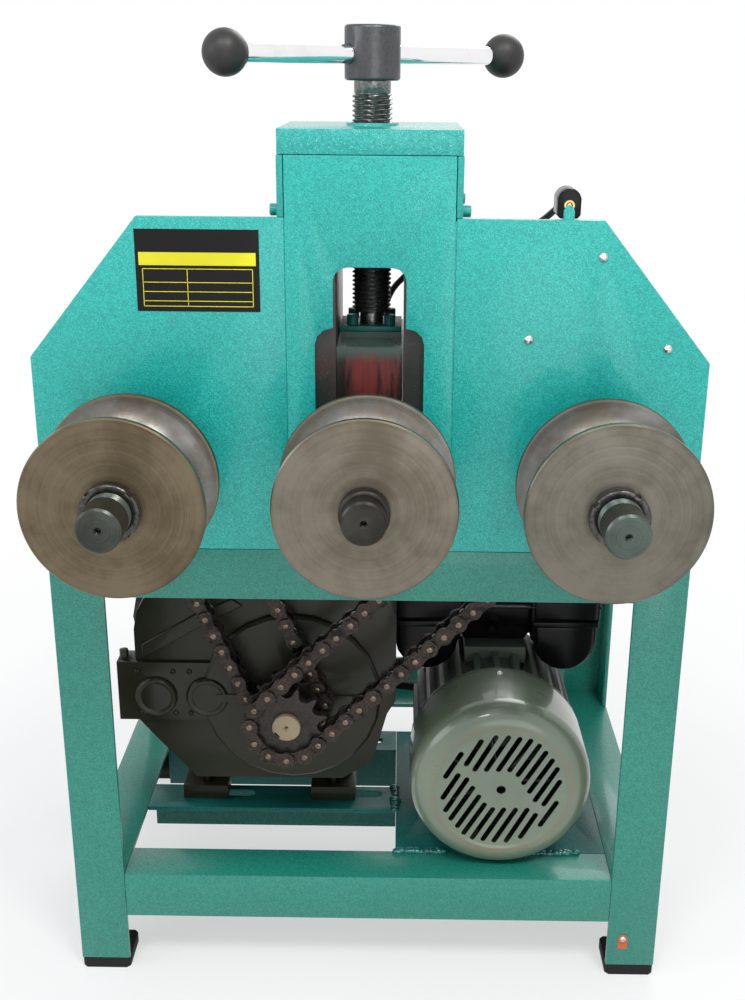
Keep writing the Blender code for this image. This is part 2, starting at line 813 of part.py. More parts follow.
def build_roller_sets():
    bore = shaft_radius + seat_gap
    chain_sides = (("left", left_shaft_place, left_chain_y), ("right", right_shaft_place, right_chain_y))
    for side, place, chain_y in chain_sides:
        axis = axis_point(place)
        node(f"{side}_shaft", side_shaft_shape(place), "turned_steel", axis)
        node(f"{side}_roller", roller_shape(place), "turned_steel", axis)
        nut = node(f"{side}_ring_nut", ring_nut_shape(place), "oiled_steel", axis)
        nut_front = roller_front - ring_nut_length - overrun
        hole = cylinder(bore, nut_front, roller_front + overrun, round_facets, "Y", place)
        cut(nut, hole, "bore")
        sprocket = node(f"{side}_sprocket", tooth_ring(place, drive_place, chain_y), "oiled_steel", axis)
        hub_rear = chain_y - tooth_width / 2 + sprocket_hub_length
        unite(sprocket, cylinder(sprocket_hub_radius, chain_y, hub_rear, round_facets, "Y", place), "hub")
        hole = cylinder(bore, chain_y - tooth_width, hub_rear + overrun, round_facets, "Y", place)
        cut(sprocket, hole, "bore")

    place = middle_shaft_place
    shoulder_rear = front_plate_wall + seat_gap
    cap_rear = roller_front - seat_gap
    cap_front = cap_rear - middle_cap_length
    bevel = shaft_radius - shaft_end_bevel
    profile = [(bevel, middle_shaft_front), (shaft_radius, middle_shaft_front + shaft_end_bevel)]
    profile += [(shaft_radius, cap_front), (middle_cap_radius, cap_front), (middle_cap_radius, cap_rear)]
    profile += [(shaft_radius, cap_rear), (shaft_radius, collar_front), (collar_radius, collar_front)]
    profile += [(collar_radius, shoulder_rear), (shaft_radius, shoulder_rear)]
    profile += [(shaft_radius, middle_shaft_rear)]
    node("middle_shaft", turned(profile, round_facets, "Y", place), "turned_steel", axis_point(place))
    node("middle_roller", roller_shape(place), "turned_steel", axis_point(place))


def chain_pins(start, end, run_links):
    along = (end - start).normalized()
    across = Vector((-along.y, along.x))
    step = 2 * math.pi / teeth

    def wrapped(centre, first):
        turns = [first + step * (count + 0.5) for count in range(teeth // 2)]
        return [centre + pitch_radius * (math.cos(turn) * along + math.sin(turn) * across) for turn in turns]

    pins = wrapped(start, math.pi / 2)
    pins += [pins[-1] + along * chain_pitch * (count + 1) for count in range(run_links)]
    pins += wrapped(end, 3 * math.pi / 2)
    pins += [pins[-1] - along * chain_pitch * (count + 1) for count in range(run_links)]
    return pins


def chain_strip(shape, pins, middle, side):
    # One side of the chain: a tall block at each pin and a waist between, lying near and far in turn.
    # It returns the four corners of each roller's end, which the block leaves open.
    ends = []
    blocks = []
    waists = []

    def corner(place, depth):
        return shape.verts.new((place.x, middle + side * depth, place.y))

    for index, pin in enumerate(pins):
        following = pins[(index + 1) % len(pins)]
        along = (following - pins[index - 1]).normalized()
        across = Vector((-along.y, along.x))
        top, bottom = chain_roller_radius * across, -chain_roller_radius * across
        fore, aft = chain_roller_radius * along, -chain_roller_radius * along
        ends.append([corner(pin + reach, inner_plate_near) for reach in (top, fore, bottom, aft)])
        tall = plate_half_height * across
        blocks.append([ends[-1][0], corner(pin + tall, pin_end), corner(pin - tall, pin_end), ends[-1][2]])
        across = waist_half_height * Vector((pin.y - following.y, following.x - pin.x)).normalized()
        near, far = ((inner_plate_near, inner_plate_far), (outer_plate_near, outer_plate_far))[index % 2]
        centre = (pin + following) / 2
        waist = [corner(centre + across, near), corner(centre + across, far)]
        waists.append([*waist, corner(centre - across, far), corner(centre - across, near)])
    for index, waist in enumerate(waists):
        after = (index + 1) % len(pins)
        for block, point in ((blocks[index], ends[index][1]), (blocks[after], ends[after][3])):
            for here in range(3):
                shape.faces.new((block[here], block[here + 1], waist[here + 1], waist[here]))
            shape.faces.new((point, block[0], waist[0]))
            shape.faces.new((point, waist[0], waist[3]))
            shape.faces.new((point, waist[3], block[3]))
    return ends


def build_chain(name, start, end, run_links, middle):
    pins = chain_pins(start, end, run_links)
    shape = bmesh.new()
    rear_ends = chain_strip(shape, pins, middle, 1)
    front_ends = chain_strip(shape, pins, middle, -1)
    for rear, front in zip(rear_ends, front_ends):
        for here in range(4):
            there = (here + 1) % 4
            shape.faces.new((rear[here], rear[there], front[there], front[here]))
    node(name, closed(shape), "oiled_steel", smooth=False)


def build_drive():
    axis = axis_point(drive_place)
    hole = centre_hole_radius
    floor = drive_shaft_front + centre_hole_depth
    profile = [(0, floor), (hole, drive_shaft_front + centre_hole_depth / 2), (hole, drive_shaft_front)]
    profile += [(drive_shaft_radius - shaft_end_bevel / 2, drive_shaft_front)]
    profile += [(drive_shaft_radius, drive_shaft_front + shaft_end_bevel / 2)]
    profile += [(drive_shaft_radius, drive_shaft_rear)]
    shaft = node("drive_shaft", turned(profile, round_facets, "Y", drive_place), "turned_steel", axis)
    half = keyway_width / 2
    floor = drive_shaft_radius - keyway_depth
    front = drive_shaft_front - overrun
    keyway = box(-half, half, front, right_chain_y, floor, drive_shaft_radius + overrun)
    turn = Matrix.Rotation(math.radians(keyway_turn), 4, "Y")
    keyway.transform(Matrix.Translation(axis) @ turn)
    cut(shaft, keyway, "keyway")

    right_ring = tooth_ring(drive_place, right_shaft_place, right_chain_y)
    sprocket = node("drive_sprocket", right_ring, "oiled_steel", axis)
    hub = cylinder(sprocket_hub_radius, right_chain_y, double_hub_rear, round_facets, "Y", drive_place)
    unite(sprocket, hub, "hub")
    unite(sprocket, tooth_ring(drive_place, left_shaft_place, left_chain_y), "left_teeth")
    bore = drive_shaft_radius + seat_gap
    front = right_chain_y - tooth_width
    hole = cylinder(bore, front, double_hub_rear + overrun, round_facets, "Y", drive_place)
    cut(sprocket, hole, "bore")
    build_chain("right_chain", drive_place, right_shaft_place, right_run_links, right_chain_y)
    build_chain("left_chain", drive_place, left_shaft_place, left_run_links, left_chain_y)


def build_gearbox():
    outline_shares = ((0.216, 0), (0.792, 0), (0.843, 0.041), (0.910, 0.095), (0.967, 0.367), (1, 0.441))
    outline_shares += ((1, 0.891), (0.946, 1), (0.083, 1), (0.043, 0.971), (0.014, 0.902), (0, 0.810))
    outline_shares += ((0, 0.322), (0.069, 0.215))
    middle = Vector((gearbox_left + gearbox_width / 2, gearbox_bottom + gearbox_height / 2))
    outline = []
    for across_share, up_share in outline_shares:
        across = gearbox_left + across_share * gearbox_width
        outline.append(Vector((across, gearbox_bottom + up_share * gearbox_height)))
    housing = node("gearbox_housing", prism(outline, gearbox_front, gearbox_step, "Y"), "gearbox_paint")
    # The rear half of the case steps in a little all round its joint
    rear_case_share = 0.93
    outline = [middle + rear_case_share * (point - middle) for point in outline]
    unite(housing, prism(outline, gearbox_step - overrun, gearbox_rear, "Y"), "rear_case")

    cover_front = gearbox_front - gearbox_cover_wall
    boss_front = cover_front - output_boss_height
    inside = gearbox_front + gearbox_cover_wall
    profile = [(output_boss_radius, boss_front), (output_boss_radius, cover_front)]
    profile += [(gearbox_cover_radius - gearbox_cover_edge, cover_front)]
    profile += [(gearbox_cover_radius, cover_front + gearbox_cover_edge), (gearbox_cover_radius, inside)]
    unite(housing, turned(profile, fine_facets, "Y", drive_place), "cover")
    ribs = []
    for count in range(rib_count):
        half = rib_width / 2
        rib = box(rib_inner_radius, rib_outer_radius, cover_front - rib_height, inside, -half, half)
        turn = Matrix.Rotation(2 * math.pi * count / rib_count, 4, "Y")
        rib.transform(Matrix.Translation(axis_point(drive_place)) @ turn)
        ribs.append(rib)
    unite(housing, grouped(ribs), "ribs")

    box_rear = bearing_box_front + bearing_box_depth
    high = bearing_box_bottom + bearing_box_height
    right = bearing_box_left + bearing_box_width
    bearing = box(bearing_box_left, right, bearing_box_front, box_rear, bearing_box_bottom, high)
    unite(housing, bearing, "bearing_box")
    cap_front = bearing_box_front - bearing_cap_height
    places = (input_place, input_place + Vector((second_cap_offset, 0)))
    inside = bearing_box_front + bearing_cap_height
    caps = [cylinder(bearing_cap_radius, cap_front, inside, small_facets, "Y", place) for place in places]
    unite(housing, grouped(caps), "bearing_caps")
    filler_y = bearing_box_front + bearing_box_depth / 2
    filler = cylinder(filler_radius, high - overrun, high + filler_height, 8, "Z", (filler_x, filler_y))
    unite(housing, filler, "filler")

    foot_low = lower_ring_top + seat_gap
    half = gearbox_foot_width / 2
    reach = half - gearbox_plinth_margin
    edges = (gearbox_foot_left - reach, gearbox_foot_right + reach, gearbox_plinth_front)
    low = gearbox_foot_top - overrun
    plinth = box(*edges, gearbox_rear - overrun, low, gearbox_bottom + gearbox_height / 4)
    flanges = []
    for x in (gearbox_foot_left, gearbox_foot_right):
        front_end = gearbox_foot_front + gearbox_foot_depth
        rear_end = gearbox_foot_rear - gearbox_foot_depth
        flanges.append(box(x - half, x + half, gearbox_foot_front, front_end, foot_low, gearbox_foot_top))
        flanges.append(box(x - half, x + half, rear_end, gearbox_foot_rear, foot_low, gearbox_foot_top))
    unite(housing, plinth, "plinth")
    unite(housing, grouped(flanges), "feet")
    front = boss_front - overrun
    rear = drive_shaft_rear + seat_gap
    bore = running_bore(drive_shaft_radius, round_facets)
    bore = cylinder(bore, front, rear, round_facets, "Y", drive_place)
    cut(housing, bore, "output_bore")
    front = input_shaft_front - seat_gap
    rear = gearbox_rear + overrun
    bore = running_bore(input_shaft_radius, round_facets)
    bore = cylinder(bore, front, rear, round_facets, "Y", input_place)
    cut(housing, bore, "input_bore")


def pulley_profile(radius):
    front = belt_y - pulley_half_width
    rear = belt_y + pulley_half_width
    floor = radius - groove_depth
    profile = [(radius, front), (radius, belt_y - groove_half_width)]
    profile += [(floor, belt_y - groove_floor_half_width), (floor, belt_y + groove_floor_half_width)]
    profile += [(radius, belt_y + groove_half_width), (radius, rear)]
    return profile


def build_pulleys():
    rear = belt_y + pulley_half_width
    profile = [(input_shaft_radius, input_shaft_front), (input_shaft_radius, belt_y - pulley_half_width)]
    profile += pulley_profile(gearbox_pulley_radius)
    profile += [(pulley_hub_radius, rear), (pulley_hub_radius, rear + pulley_hub_length)]
    pulley = turned(profile, round_facets, "Y", input_place)
    node("gearbox_pulley", pulley, "turned_steel", axis_point(input_place))

    profile = [(rotor_radius, rotor_front), (rotor_radius, belt_y - pulley_half_width)]
    profile += pulley_profile(motor_pulley_radius)
    profile += [(pulley_hub_radius, rear), (pulley_hub_radius, rotor_rear - overrun)]
    profile += [(rotor_radius, rotor_rear - overrun), (rotor_radius, rotor_rear)]
    shaft = turned(profile, round_facets, "Y", motor_place)
    rotor = node("rotor_shaft", shaft, "turned_steel", axis_point(motor_place))
    plate_front = fan_rear - fan_plate_wall
    hub = [(fan_hub_radius, fan_front), (fan_hub_radius, plate_front), (fan_radius, plate_front)]
    hub += [(fan_radius, fan_rear), (fan_hub_radius, fan_rear)]
    unite(rotor, turned(hub, round_facets, "Y", motor_place), "fan")
    blades = []
    for count in range(fan_blade_count):
        half = fan_blade_wall / 2
        inner = (rotor_radius + fan_hub_radius) / 2
        blade = box(inner, fan_radius - half, fan_front + half, fan_rear - half, -half, half)
        turn = Matrix.Rotation(2 * math.pi * count / fan_blade_count, 4, "Y")
        blade.transform(Matrix.Translation(axis_point(motor_place)) @ turn)
        blades.append(blade)
    unite(rotor, grouped(blades), "blades")


def build_belt():
    run = motor_place - input_place
    heading = math.degrees(math.atan2(run.y, run.x))
    top_radii = (gearbox_pulley_radius - belt_sink, motor_pulley_radius - belt_sink)
    lean = math.degrees(math.asin((top_radii[0] - top_radii[1]) / run.length))
    rings = []
    shape = bmesh.new()
    wraps = ((input_place, top_radii[0], heading + 90 - lean, heading + 270 + lean, 12),)
    wraps += ((motor_place, top_radii[1], heading - 90 + lean, heading + 90 - lean, 8),)
    for centre, radius, start, end, steps in wraps:
        outer = arc(centre, radius, start, end, steps)
        inner = arc(centre, radius - belt_height, start, end, steps)
        for (outer_x, outer_z), (inner_x, inner_z) in zip(outer, inner):
            corners = [(outer_x, belt_y - belt_half_width, outer_z)]
            corners += [(outer_x, belt_y + belt_half_width, outer_z)]
            corners += [(inner_x, belt_y + belt_inner_half_width, inner_z)]
            corners += [(inner_x, belt_y - belt_inner_half_width, inner_z)]
            rings.append([shape.verts.new(corner) for corner in corners])
    for ring, following in zip(rings, rings[1:] + rings[:1]):
        for here in range(4):
            there = (here + 1) % 4
            shape.faces.new((ring[here], ring[there], following[there], following[here]))
    node("drive_belt", closed(shape), "rubber")


def fan_cover_shape():
    bend = fan_cover_radius - fan_face_radius
    back = fan_cover_front + fan_cover_wall
    centre_y = fan_cover_front + bend
    outer = arc((fan_face_radius, centre_y), bend, -90, 0, 3)
    inner = arc((fan_face_radius, centre_y), bend - fan_cover_wall, 0, -90, 2)
    profile = [(fan_hole_radius, fan_cover_front), *outer, (fan_cover_radius, fan_cover_rear)]
    profile += [(fan_cover_radius - fan_cover_wall, fan_cover_rear), *inner, (fan_hole_radius, back)]
    return turned(profile, fine_facets, "Y", motor_place, hollow=True)


def build_fan_cover():
    cover = node("fan_cover", fan_cover_shape(), "motor_paint")
    # Ends of each slot as shares of the flat face's radius; the other half lies point-symmetric
    slot_shares = (
        ((-0.597, 0.578), (-0.813, 0.207)),
        ((-0.317, 0.784), (-0.518, 0.414)),
        ((-0.106, 0.853), (-0.391, 0.331)),
        ((0.073, 0.853), (-0.223, 0.331)),
        ((0.236, 0.830), (-0.049, 0.331)),
        ((0.393, 0.806), (0.112, 0.327)),
        ((0.521, 0.727), (0.236, 0.252)),
        ((0.619, 0.614), (0.322, 0.119)),
        ((0.719, 0.489), (0.414, -0.023)),
        ((0.799, 0.351), (0.504, -0.163)),
        ((0.843, 0.142), (0.633, -0.230)),
    )
    slots = []
    front = fan_cover_front - overrun
    rear = fan_cover_front + fan_cover_wall + overrun
    for half in (1, -1):
        for end_shares in slot_shares:
            ends = [motor_place + half * fan_face_radius * Vector(share) for share in end_shares]
            slots.append(prism(slot_outline(*ends, fan_slot_width, 1), front, rear, "Y"))
    cut(cover, grouped(slots), "slots")


def build_motor():
    front = fan_cover_rear + seat_gap
    outline = []
    for fin in range(fin_count):
        middle = 360 * (fin + 0.5) / fin_count
        tip_half = 180 * fin_tip_share / fin_count
        root_half = 180 * fin_root_share / fin_count
        outline += arc(motor_place, fin_root_radius, middle - 2 * root_half, middle - root_half, 1)[1:]
        outline += arc(motor_place, fin_tip_radius, middle - tip_half, middle + tip_half, 1)
        outline += arc(motor_place, fin_root_radius, middle + root_half, middle + 2 * root_half, 1)[:1]
    fins_front = front + front_shield_wall / 2
    housing = node("motor_housing", prism(outline, fins_front, stator_rear, "Y"), "motor_paint")
    spigot_radius = fan_cover_radius - fan_cover_wall - seat_gap
    spigot_front = front - front_shield_spigot
    shield = [(spigot_radius, spigot_front), (spigot_radius, front), (fan_cover_radius, front)]
    shield += [(fan_cover_radius, front + front_shield_wall)]
    unite(housing, turned(shield, fine_facets, "Y", motor_place), "front_shield")
    pad_top = motor_z + pad_height
    edges = (motor_x - pad_half_width, motor_x + pad_half_width)
    pad = box(*edges, terminal_front, stator_rear - overrun, motor_z, pad_top)
    unite(housing, pad, "pad")
    rear_end = stator_rear - overrun
    shield = [(end_shield_radius, rear_end), (end_shield_radius, end_shield_step)]
    shield += [(end_shield_boss_radius, end_shield_rear - overrun), (end_shield_boss_radius, end_shield_rear)]
    unite(housing, turned(shield, round_facets, "Y", motor_place), "end_shield")
    foot_low = lower_ring_top + seat_gap
    outline = [(motor_foot_half_width, foot_low), (motor_foot_half_width, foot_low + motor_foot_thickness)]
    joining = fin_root_radius * math.sqrt(0.5)
    outline += [(joining, motor_z - joining)]
    outline += [(motor_foot_inner, motor_z - motor_foot_inner), (motor_foot_inner, foot_low)]
    feet = []
    for side in (-1, 1):
        placed = [(motor_x + side * first, second) for first, second in outline]
        feet.append(prism(placed, motor_foot_front, motor_foot_rear, "Y"))
    unite(housing, grouped(feet), "feet")
    front = spigot_front - overrun
    bore = running_bore(rotor_radius, round_facets)
    bore = cylinder(bore, front, end_shield_rear + overrun, round_facets, "Y", motor_place)
    cut(housing, bore, "bore")

    pedestal_bottom = pad_top + seat_gap
    lid_bottom = terminal_top - terminal_lid_height
    corner = terminal_half_width - terminal_corner
    half = [(pedestal_half_width, pedestal_bottom), (pedestal_half_width + pedestal_flare, pod_z)]
    half += arc((pod_spacing, pod_z), pod_radius, 180, 360, 8)
    half += [(pod_spacing + pod_radius, lid_bottom), (terminal_half_width, lid_bottom)]
    half += [(terminal_half_width, terminal_top - terminal_corner), (corner, terminal_top)]
    outline = [(motor_x + first, second) for first, second in mirrored(half)]
    terminal = node("terminal_box", prism(outline, terminal_front, terminal_rear, "Y"), "black_plastic")
    edges = (motor_x - terminal_recess_half_width, motor_x + terminal_recess_half_width)
    rear = terminal_front + terminal_recess_depth
    recess = box(*edges, terminal_front - overrun, rear, pedestal_bottom - overrun, terminal_top + overrun)
    cut(terminal, recess, "recess")


def build_connector():
    front = panel_wall + tab_wall + seat_gap
    half = connector_width / 2
    top = connector_bottom + connector_height
    outline = [(tab_x - half, connector_bottom), (tab_x + half, connector_bottom)]
    outline += arc((tab_x, top - half), half, 0, 180, 8)
    node("connector_block", prism(outline, front, front + connector_depth, "Y"), "black_plastic")


def cable_points(route):
    # A smooth curve through the route's own points, read at even steps of its length
    knots = [2 * route[0] - route[1], *route, 2 * route[-1] - route[-2]]
    fine = []
    for before, start, end, after in zip(knots, knots[1:], knots[2:], knots[3:]):
        for count in range(20):
            t = count / 20
            bend = (2 * before - 5 * start + 4 * end - after) * t**2
            twist = (3 * start - before - 3 * end + after) * t**3
            fine.append((2 * start + (end - before) * t + bend + twist) / 2)
    fine.append(route[-1])
    lengths = [0]
    for first, second in zip(fine, fine[1:]):
        lengths.append(lengths[-1] + (second - first).length)
    count = round(lengths[-1] / cable_spacing)
    points = []
    place = 0
    for step in range(count + 1):
        goal = lengths[-1] * step / count
        while place < len(lengths) - 2 and lengths[place + 1] < goal:
            place += 1
        part = (goal - lengths[place]) / (lengths[place + 1] - lengths[place])
        points.append(fine[place].lerp(fine[place + 1], part))
    return points


def build_cable():
    start_y = panel_wall + tab_wall + connector_depth + 2 * seat_gap
    start = Vector((tab_x, start_y, connector_bottom + connector_height / 2))
    end = Vector((motor_x, (terminal_front + terminal_rear) / 2, terminal_top + seat_gap))
    route = [
        (0.1690, 0.0520, 0.7838),
        (0.1650, 0.0750, 0.7730),
        (0.1500, 0.1100, 0.7560),
        (0.1200, 0.1420, 0.7440),
        (0.0850, 0.1680, 0.7340),
        (0.0550, 0.1820, 0.7180),
        (0.0310, 0.1860, 0.6970),
        (0.0160, 0.1870, 0.6780),
        (0.0040, 0.1880, 0.6400),
        (0.0020, 0.1890, 0.5800),
        (0.0090, 0.1910, 0.5200),
        (0.0350, 0.1950, 0.4620),
        (0.0800, 0.2000, 0.4240),
        (0.1180, 0.2050, 0.4040),
    ]
    leaving = start + Vector((0, cable_lead, 0))
    arriving = end + Vector((0, 0, cable_lead))
    points = [start, *cable_points([leaving, *[Vector(place) for place in route], arriving]), end]
    line = bpy.data.curves.new("motor_cable", "CURVE")
    line.dimensions = "3D"
    line.bevel_depth = cable_radius
    line.bevel_resolution = 2
    line.use_fill_caps = True
    spline = line.splines.new("POLY")
    spline.points.add(len(points) - 1)
    for point, place in zip(spline.points, points):
        point.co = (*place, 1)
    cable = bpy.data.objects.new("motor_cable", line)
    cable.parent = datum
    bpy.context.collection.objects.link(cable)
    painted(cable, "rubber")
    lengths = [(second - first).length for first, second in zip(points, points[1:])]
    print(f"motor cable: {sum(lengths):.3f} m in {len(points)} points")


build_stand()
build_cross_members()
build_panels()
build_column()
build_carriage()
build_screw()
build_roller_sets()
build_drive()
build_gearbox()
build_pulleys()
build_belt()
build_fan_cover()
build_motor()
build_connector()
build_cable()
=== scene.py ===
import math
import random

import bpy
from mathutils import Matrix, Vector


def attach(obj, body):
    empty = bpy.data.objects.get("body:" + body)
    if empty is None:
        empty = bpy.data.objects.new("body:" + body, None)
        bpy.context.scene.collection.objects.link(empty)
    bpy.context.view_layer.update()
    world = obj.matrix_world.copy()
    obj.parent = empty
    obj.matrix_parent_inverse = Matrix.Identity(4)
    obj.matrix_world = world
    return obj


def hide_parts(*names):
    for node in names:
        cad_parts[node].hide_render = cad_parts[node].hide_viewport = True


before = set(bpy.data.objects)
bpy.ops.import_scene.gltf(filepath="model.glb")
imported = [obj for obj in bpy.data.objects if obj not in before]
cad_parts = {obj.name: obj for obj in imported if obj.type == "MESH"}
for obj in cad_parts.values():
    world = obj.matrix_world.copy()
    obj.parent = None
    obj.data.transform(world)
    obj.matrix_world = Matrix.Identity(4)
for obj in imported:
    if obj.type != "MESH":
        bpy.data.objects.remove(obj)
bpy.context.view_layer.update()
datumY = -0.1265                     # the panels' front face; depths below are counted from it
random.seed(7)


# camera, floor and lights

shot = {
    "place": (0.0278, -1.2894, 0.8928),
    "turn": (69.2523, -0.4732, 0.6623),
    "lens": 47.9,
    "shift": (-0.01542, 0.07033),
    "floorSize": 14.0,
    "floorTone": (0.86, 0.86, 0.85, 1),
}

lamps = {
    "keyRight": {
        "place": (0.95, -1.9, 3.1), "aim": (0, 0, 0.6), "size": 0.9, "power": 46, "tone": (1, 0.99, 0.97)
    },
    "keyLeft": {
        "place": (-0.75, -2.1, 3.0), "aim": (0, 0, 0.6), "size": 0.8, "power": 30, "tone": (0.98, 0.99, 1)
    },
    "fillLeft": {
        "place": (-2.6, -1.2, 1.5), "aim": (0, 0, 0.4), "size": 1.8, "power": 18, "tone": (0.96, 0.98, 1)
    },
    "fillLow": {"place": (0.6, -2.9, 0.7), "aim": (0, 0, 0.3), "size": 1.6, "power": 9, "tone": (1, 1, 1)},
    "backAbove": {
        "place": (0.8, 2.2, 2.4), "aim": (0, 0, 0.5), "size": 1.6, "power": 26, "tone": (1, 1, 1)
    },
}


def setCamera():
    data = bpy.data.cameras.new("photoView")
    data.lens = shot["lens"]
    data.sensor_width = 36
    data.shift_x, data.shift_y = shot["shift"]
    camera = bpy.data.objects.new("photoView", data)
    camera.location = shot["place"]
    camera.rotation_euler = [math.radians(angle) for angle in shot["turn"]]
    bpy.context.scene.collection.objects.link(camera)
    bpy.context.scene.camera = camera


def setLamps():
    for name, lamp in lamps.items():
        data = bpy.data.lights.new(name, "AREA")
        data.shape = "DISK"
        data.size = lamp["size"]
        data.energy = lamp["power"]
        data.color = lamp["tone"]
        item = bpy.data.objects.new(name, data)
        item.location = lamp["place"]
        aim = Vector(lamp["aim"]) - item.location
        item.rotation_euler = aim.to_track_quat("-Z", "Y").to_euler()
        bpy.context.scene.collection.objects.link(item)


# shader maths: a Value is one output of a node, and sums of Values add Math nodes

class Value:
    def __init__(self, finish, socket):
        self.finish = finish
        self.socket = socket

    def math(self, operation, other=0.0):
        return self.finish.add("Math", {"operation": operation}, {0: self, 1: other})

    def __add__(self, other):
        return self.math("ADD", other)

    def __mul__(self, other):
        return self.math("MULTIPLY", other)

    def __sub__(self, other):
        return self.math("SUBTRACT", other)

    def __rsub__(self, other):
        return self.finish.add("Math", {"operation": "SUBTRACT"}, {0: other, 1: self})

    __radd__ = __add__
    __rmul__ = __mul__


class Finish:
    def __init__(self, name, **levels):
        self.material = bpy.data.materials.new(name)
        self.material.use_nodes = True
        self.tree = self.material.node_tree
        self.shader = self.tree.nodes["Principled BSDF"]
        self.place = self.add("TexCoord", {}, {}, 3)
        for socket, level in levels.items():
            self.give(socket, level)

    def add(self, kind, settings, values, out=0):
        node = self.tree.nodes.new("ShaderNode" + kind)
        for key, setting in settings.items():
            if key == "stops":
                for stop, (place, tone) in zip(node.color_ramp.elements, setting):
                    stop.position = place
                    stop.color = tone
            else:
                setattr(node, key, setting)
        for key, value in values.items():
            self.feed(node.inputs[key], value)
        return Value(self, node.outputs[out])

    def feed(self, socket, value):
        if isinstance(value, Value):
            self.tree.links.new(value.socket, socket)
        else:
            socket.default_value = value

    def give(self, socket, value):          # coatWeight feeds the socket named Coat Weight
        words = socket.replace("IOR", "Ior")
        words = "".join(" " + letter if letter.isupper() else letter for letter in words).title()
        self.feed(self.shader.inputs[words.replace("Ior", "IOR")], value)

    def noise(self, scale, detail=2.0, rough=0.5, stretch=(1, 1, 1)):
        stretched = self.add("Mapping", {}, {"Vector": self.place, "Scale": stretch})
        values = {"Vector": stretched, "Scale": scale, "Detail": detail, "Roughness": rough}
        return self.add("TexNoise", {}, values)

    def part(self, axis):
        return self.add("SeparateXYZ", {}, {0: self.place}, "XYZ".index(axis))

    def vector(self, operation, first, second=(0, 0, 0)):
        return self.add("VectorMath", {"operation": operation}, {0: first, 1: second})

    def span(self, value, low, high, start=0.0, end=1.0):
        values = {0: value, 1: low, 2: high, 3: start, 4: end}
        return self.add("MapRange", {"interpolation_type": "SMOOTHSTEP"}, values)

    def mix(self, factor, first, second):
        return self.add("Mix", {"data_type": "RGBA"}, {0: factor, 6: first, 7: second}, 2)

    def bump(self, height, strength, distance, normal=None):
        values = {"Strength": strength, "Distance": distance, "Height": height}
        if normal:
            values["Normal"] = normal
        return self.add("Bump", {}, values)


def tone(red, green, blue):
    return (red, green, blue, 1)


def hammerPaint(name, light, dark, glint, grain, rough, strength, coat=0.3, shine=0.5):
    paint = Finish(name, coatWeight=coat, coatRoughness=0.12, specularIORLevel=shine)
    speck = paint.noise(grain, 2.0, 0.6)
    dapple = paint.noise(grain * 0.4, 1.0)
    drift = paint.noise(5.0, 2.0)
    body = paint.mix(paint.span(speck * 0.75 + dapple * 0.25, 0.38, 0.62), dark, light)
    body = paint.mix(paint.span(drift, 0.30, 0.75) * 0.30, body, dark)
    body = paint.mix(paint.span(speck, 0.60, 0.74) * 0.45, body, glint)
    paint.give("baseColor", body)
    paint.give("roughness", paint.span(speck, 0.3, 0.7, rough + 0.08, rough - 0.06))
    paint.give("normal", paint.bump(speck + dapple * 0.6, strength, 0.0008))
    return paint.material


def turnedSteel(name, light, dark, rough, centre, groove=None, metal=0.9, spread=0.22):
    # lathe marks: the normal is tipped along the turned profile, so light smears across the rings
    steel = Finish(name, metallic=metal)
    arm = steel.add("VectorMath", {"operation": "SUBTRACT"}, {0: steel.place, 1: (centre[0], 0, centre[1])})
    arm = steel.vector("MULTIPLY", arm, (1, 0, 1))
    radius = steel.add("VectorMath", {"operation": "LENGTH"}, {0: arm}, 1)
    across = steel.add("CombineXYZ", {}, {0: radius, 1: steel.part("Y")})
    rings = steel.add("TexNoise", {}, {"Vector": across, "Scale": 650.0, "Detail": 3.0, "Roughness": 0.75})
    blotch = steel.noise(20.0, 5.0, 0.6)
    fleck = steel.noise(330.0, 3.0, 0.7)
    body = steel.mix(steel.span(blotch + (rings - 0.5) * 0.45, 0.30, 0.72), dark, light)
    body = steel.mix(steel.span(fleck, 0.58, 0.80) * 0.45, body, dark)
    if groove:
        depth = steel.span(radius, roller["radius"] - 0.004, roller["radius"] - 0.0005, 1.0, 0.0)
        inside = steel.span(
            steel.part("Y"), datumY + roller["front"] + 0.0002, datumY + roller["front"] + 0.0016
        )
        body = steel.mix(depth * inside, body, steel.mix(steel.span(blotch, 0.3, 0.7), dark, groove))
    steel.give("baseColor", body)
    steel.give("roughness", steel.span(blotch + fleck * 0.4, 0.45, 1.0, rough + 0.08, rough - 0.05))
    around = steel.vector("NORMALIZE", steel.vector("CROSS_PRODUCT", (0, 1, 0), arm))
    around = steel.add(
        "VectorTransform", {"vector_type": "VECTOR", "convert_from": "OBJECT", "convert_to": "WORLD"},
        {0: around}
    )
    facing = steel.add("NewGeometry", {}, {}, 1)
    along = steel.vector("CROSS_PRODUCT", facing, around)
    grain = steel.noise(9000.0, 2.0, 0.6)
    tip = (grain - 0.5) * spread * 2.4 + (rings - 0.5) * spread * 0.6
    tipped = steel.add("VectorMath", {"operation": "SCALE"}, {0: along, "Scale": tip})
    steel.give("normal", steel.vector("NORMALIZE", steel.vector("ADD", facing, tipped)))
    return steel.material


def greasySteel(name, base, wet, rough, metal, amount):
    steel = Finish(name, metallic=metal)
    smear = steel.noise(60.0, 4.0, 0.6)
    grit = steel.noise(420.0, 3.0, 0.6)
    mask = steel.span(smear, 0.60 - amount * 0.3, 0.74 - amount * 0.2)
    steel.give("baseColor", steel.mix(mask, steel.mix(steel.span(grit, 0.35, 0.75), base, wet), wet))
    steel.give("roughness", steel.span(mask, 0.0, 1.0, rough, 0.20))
    steel.give("normal", steel.bump(smear + grit * 0.5, 0.35, 0.0006))
    return steel.material


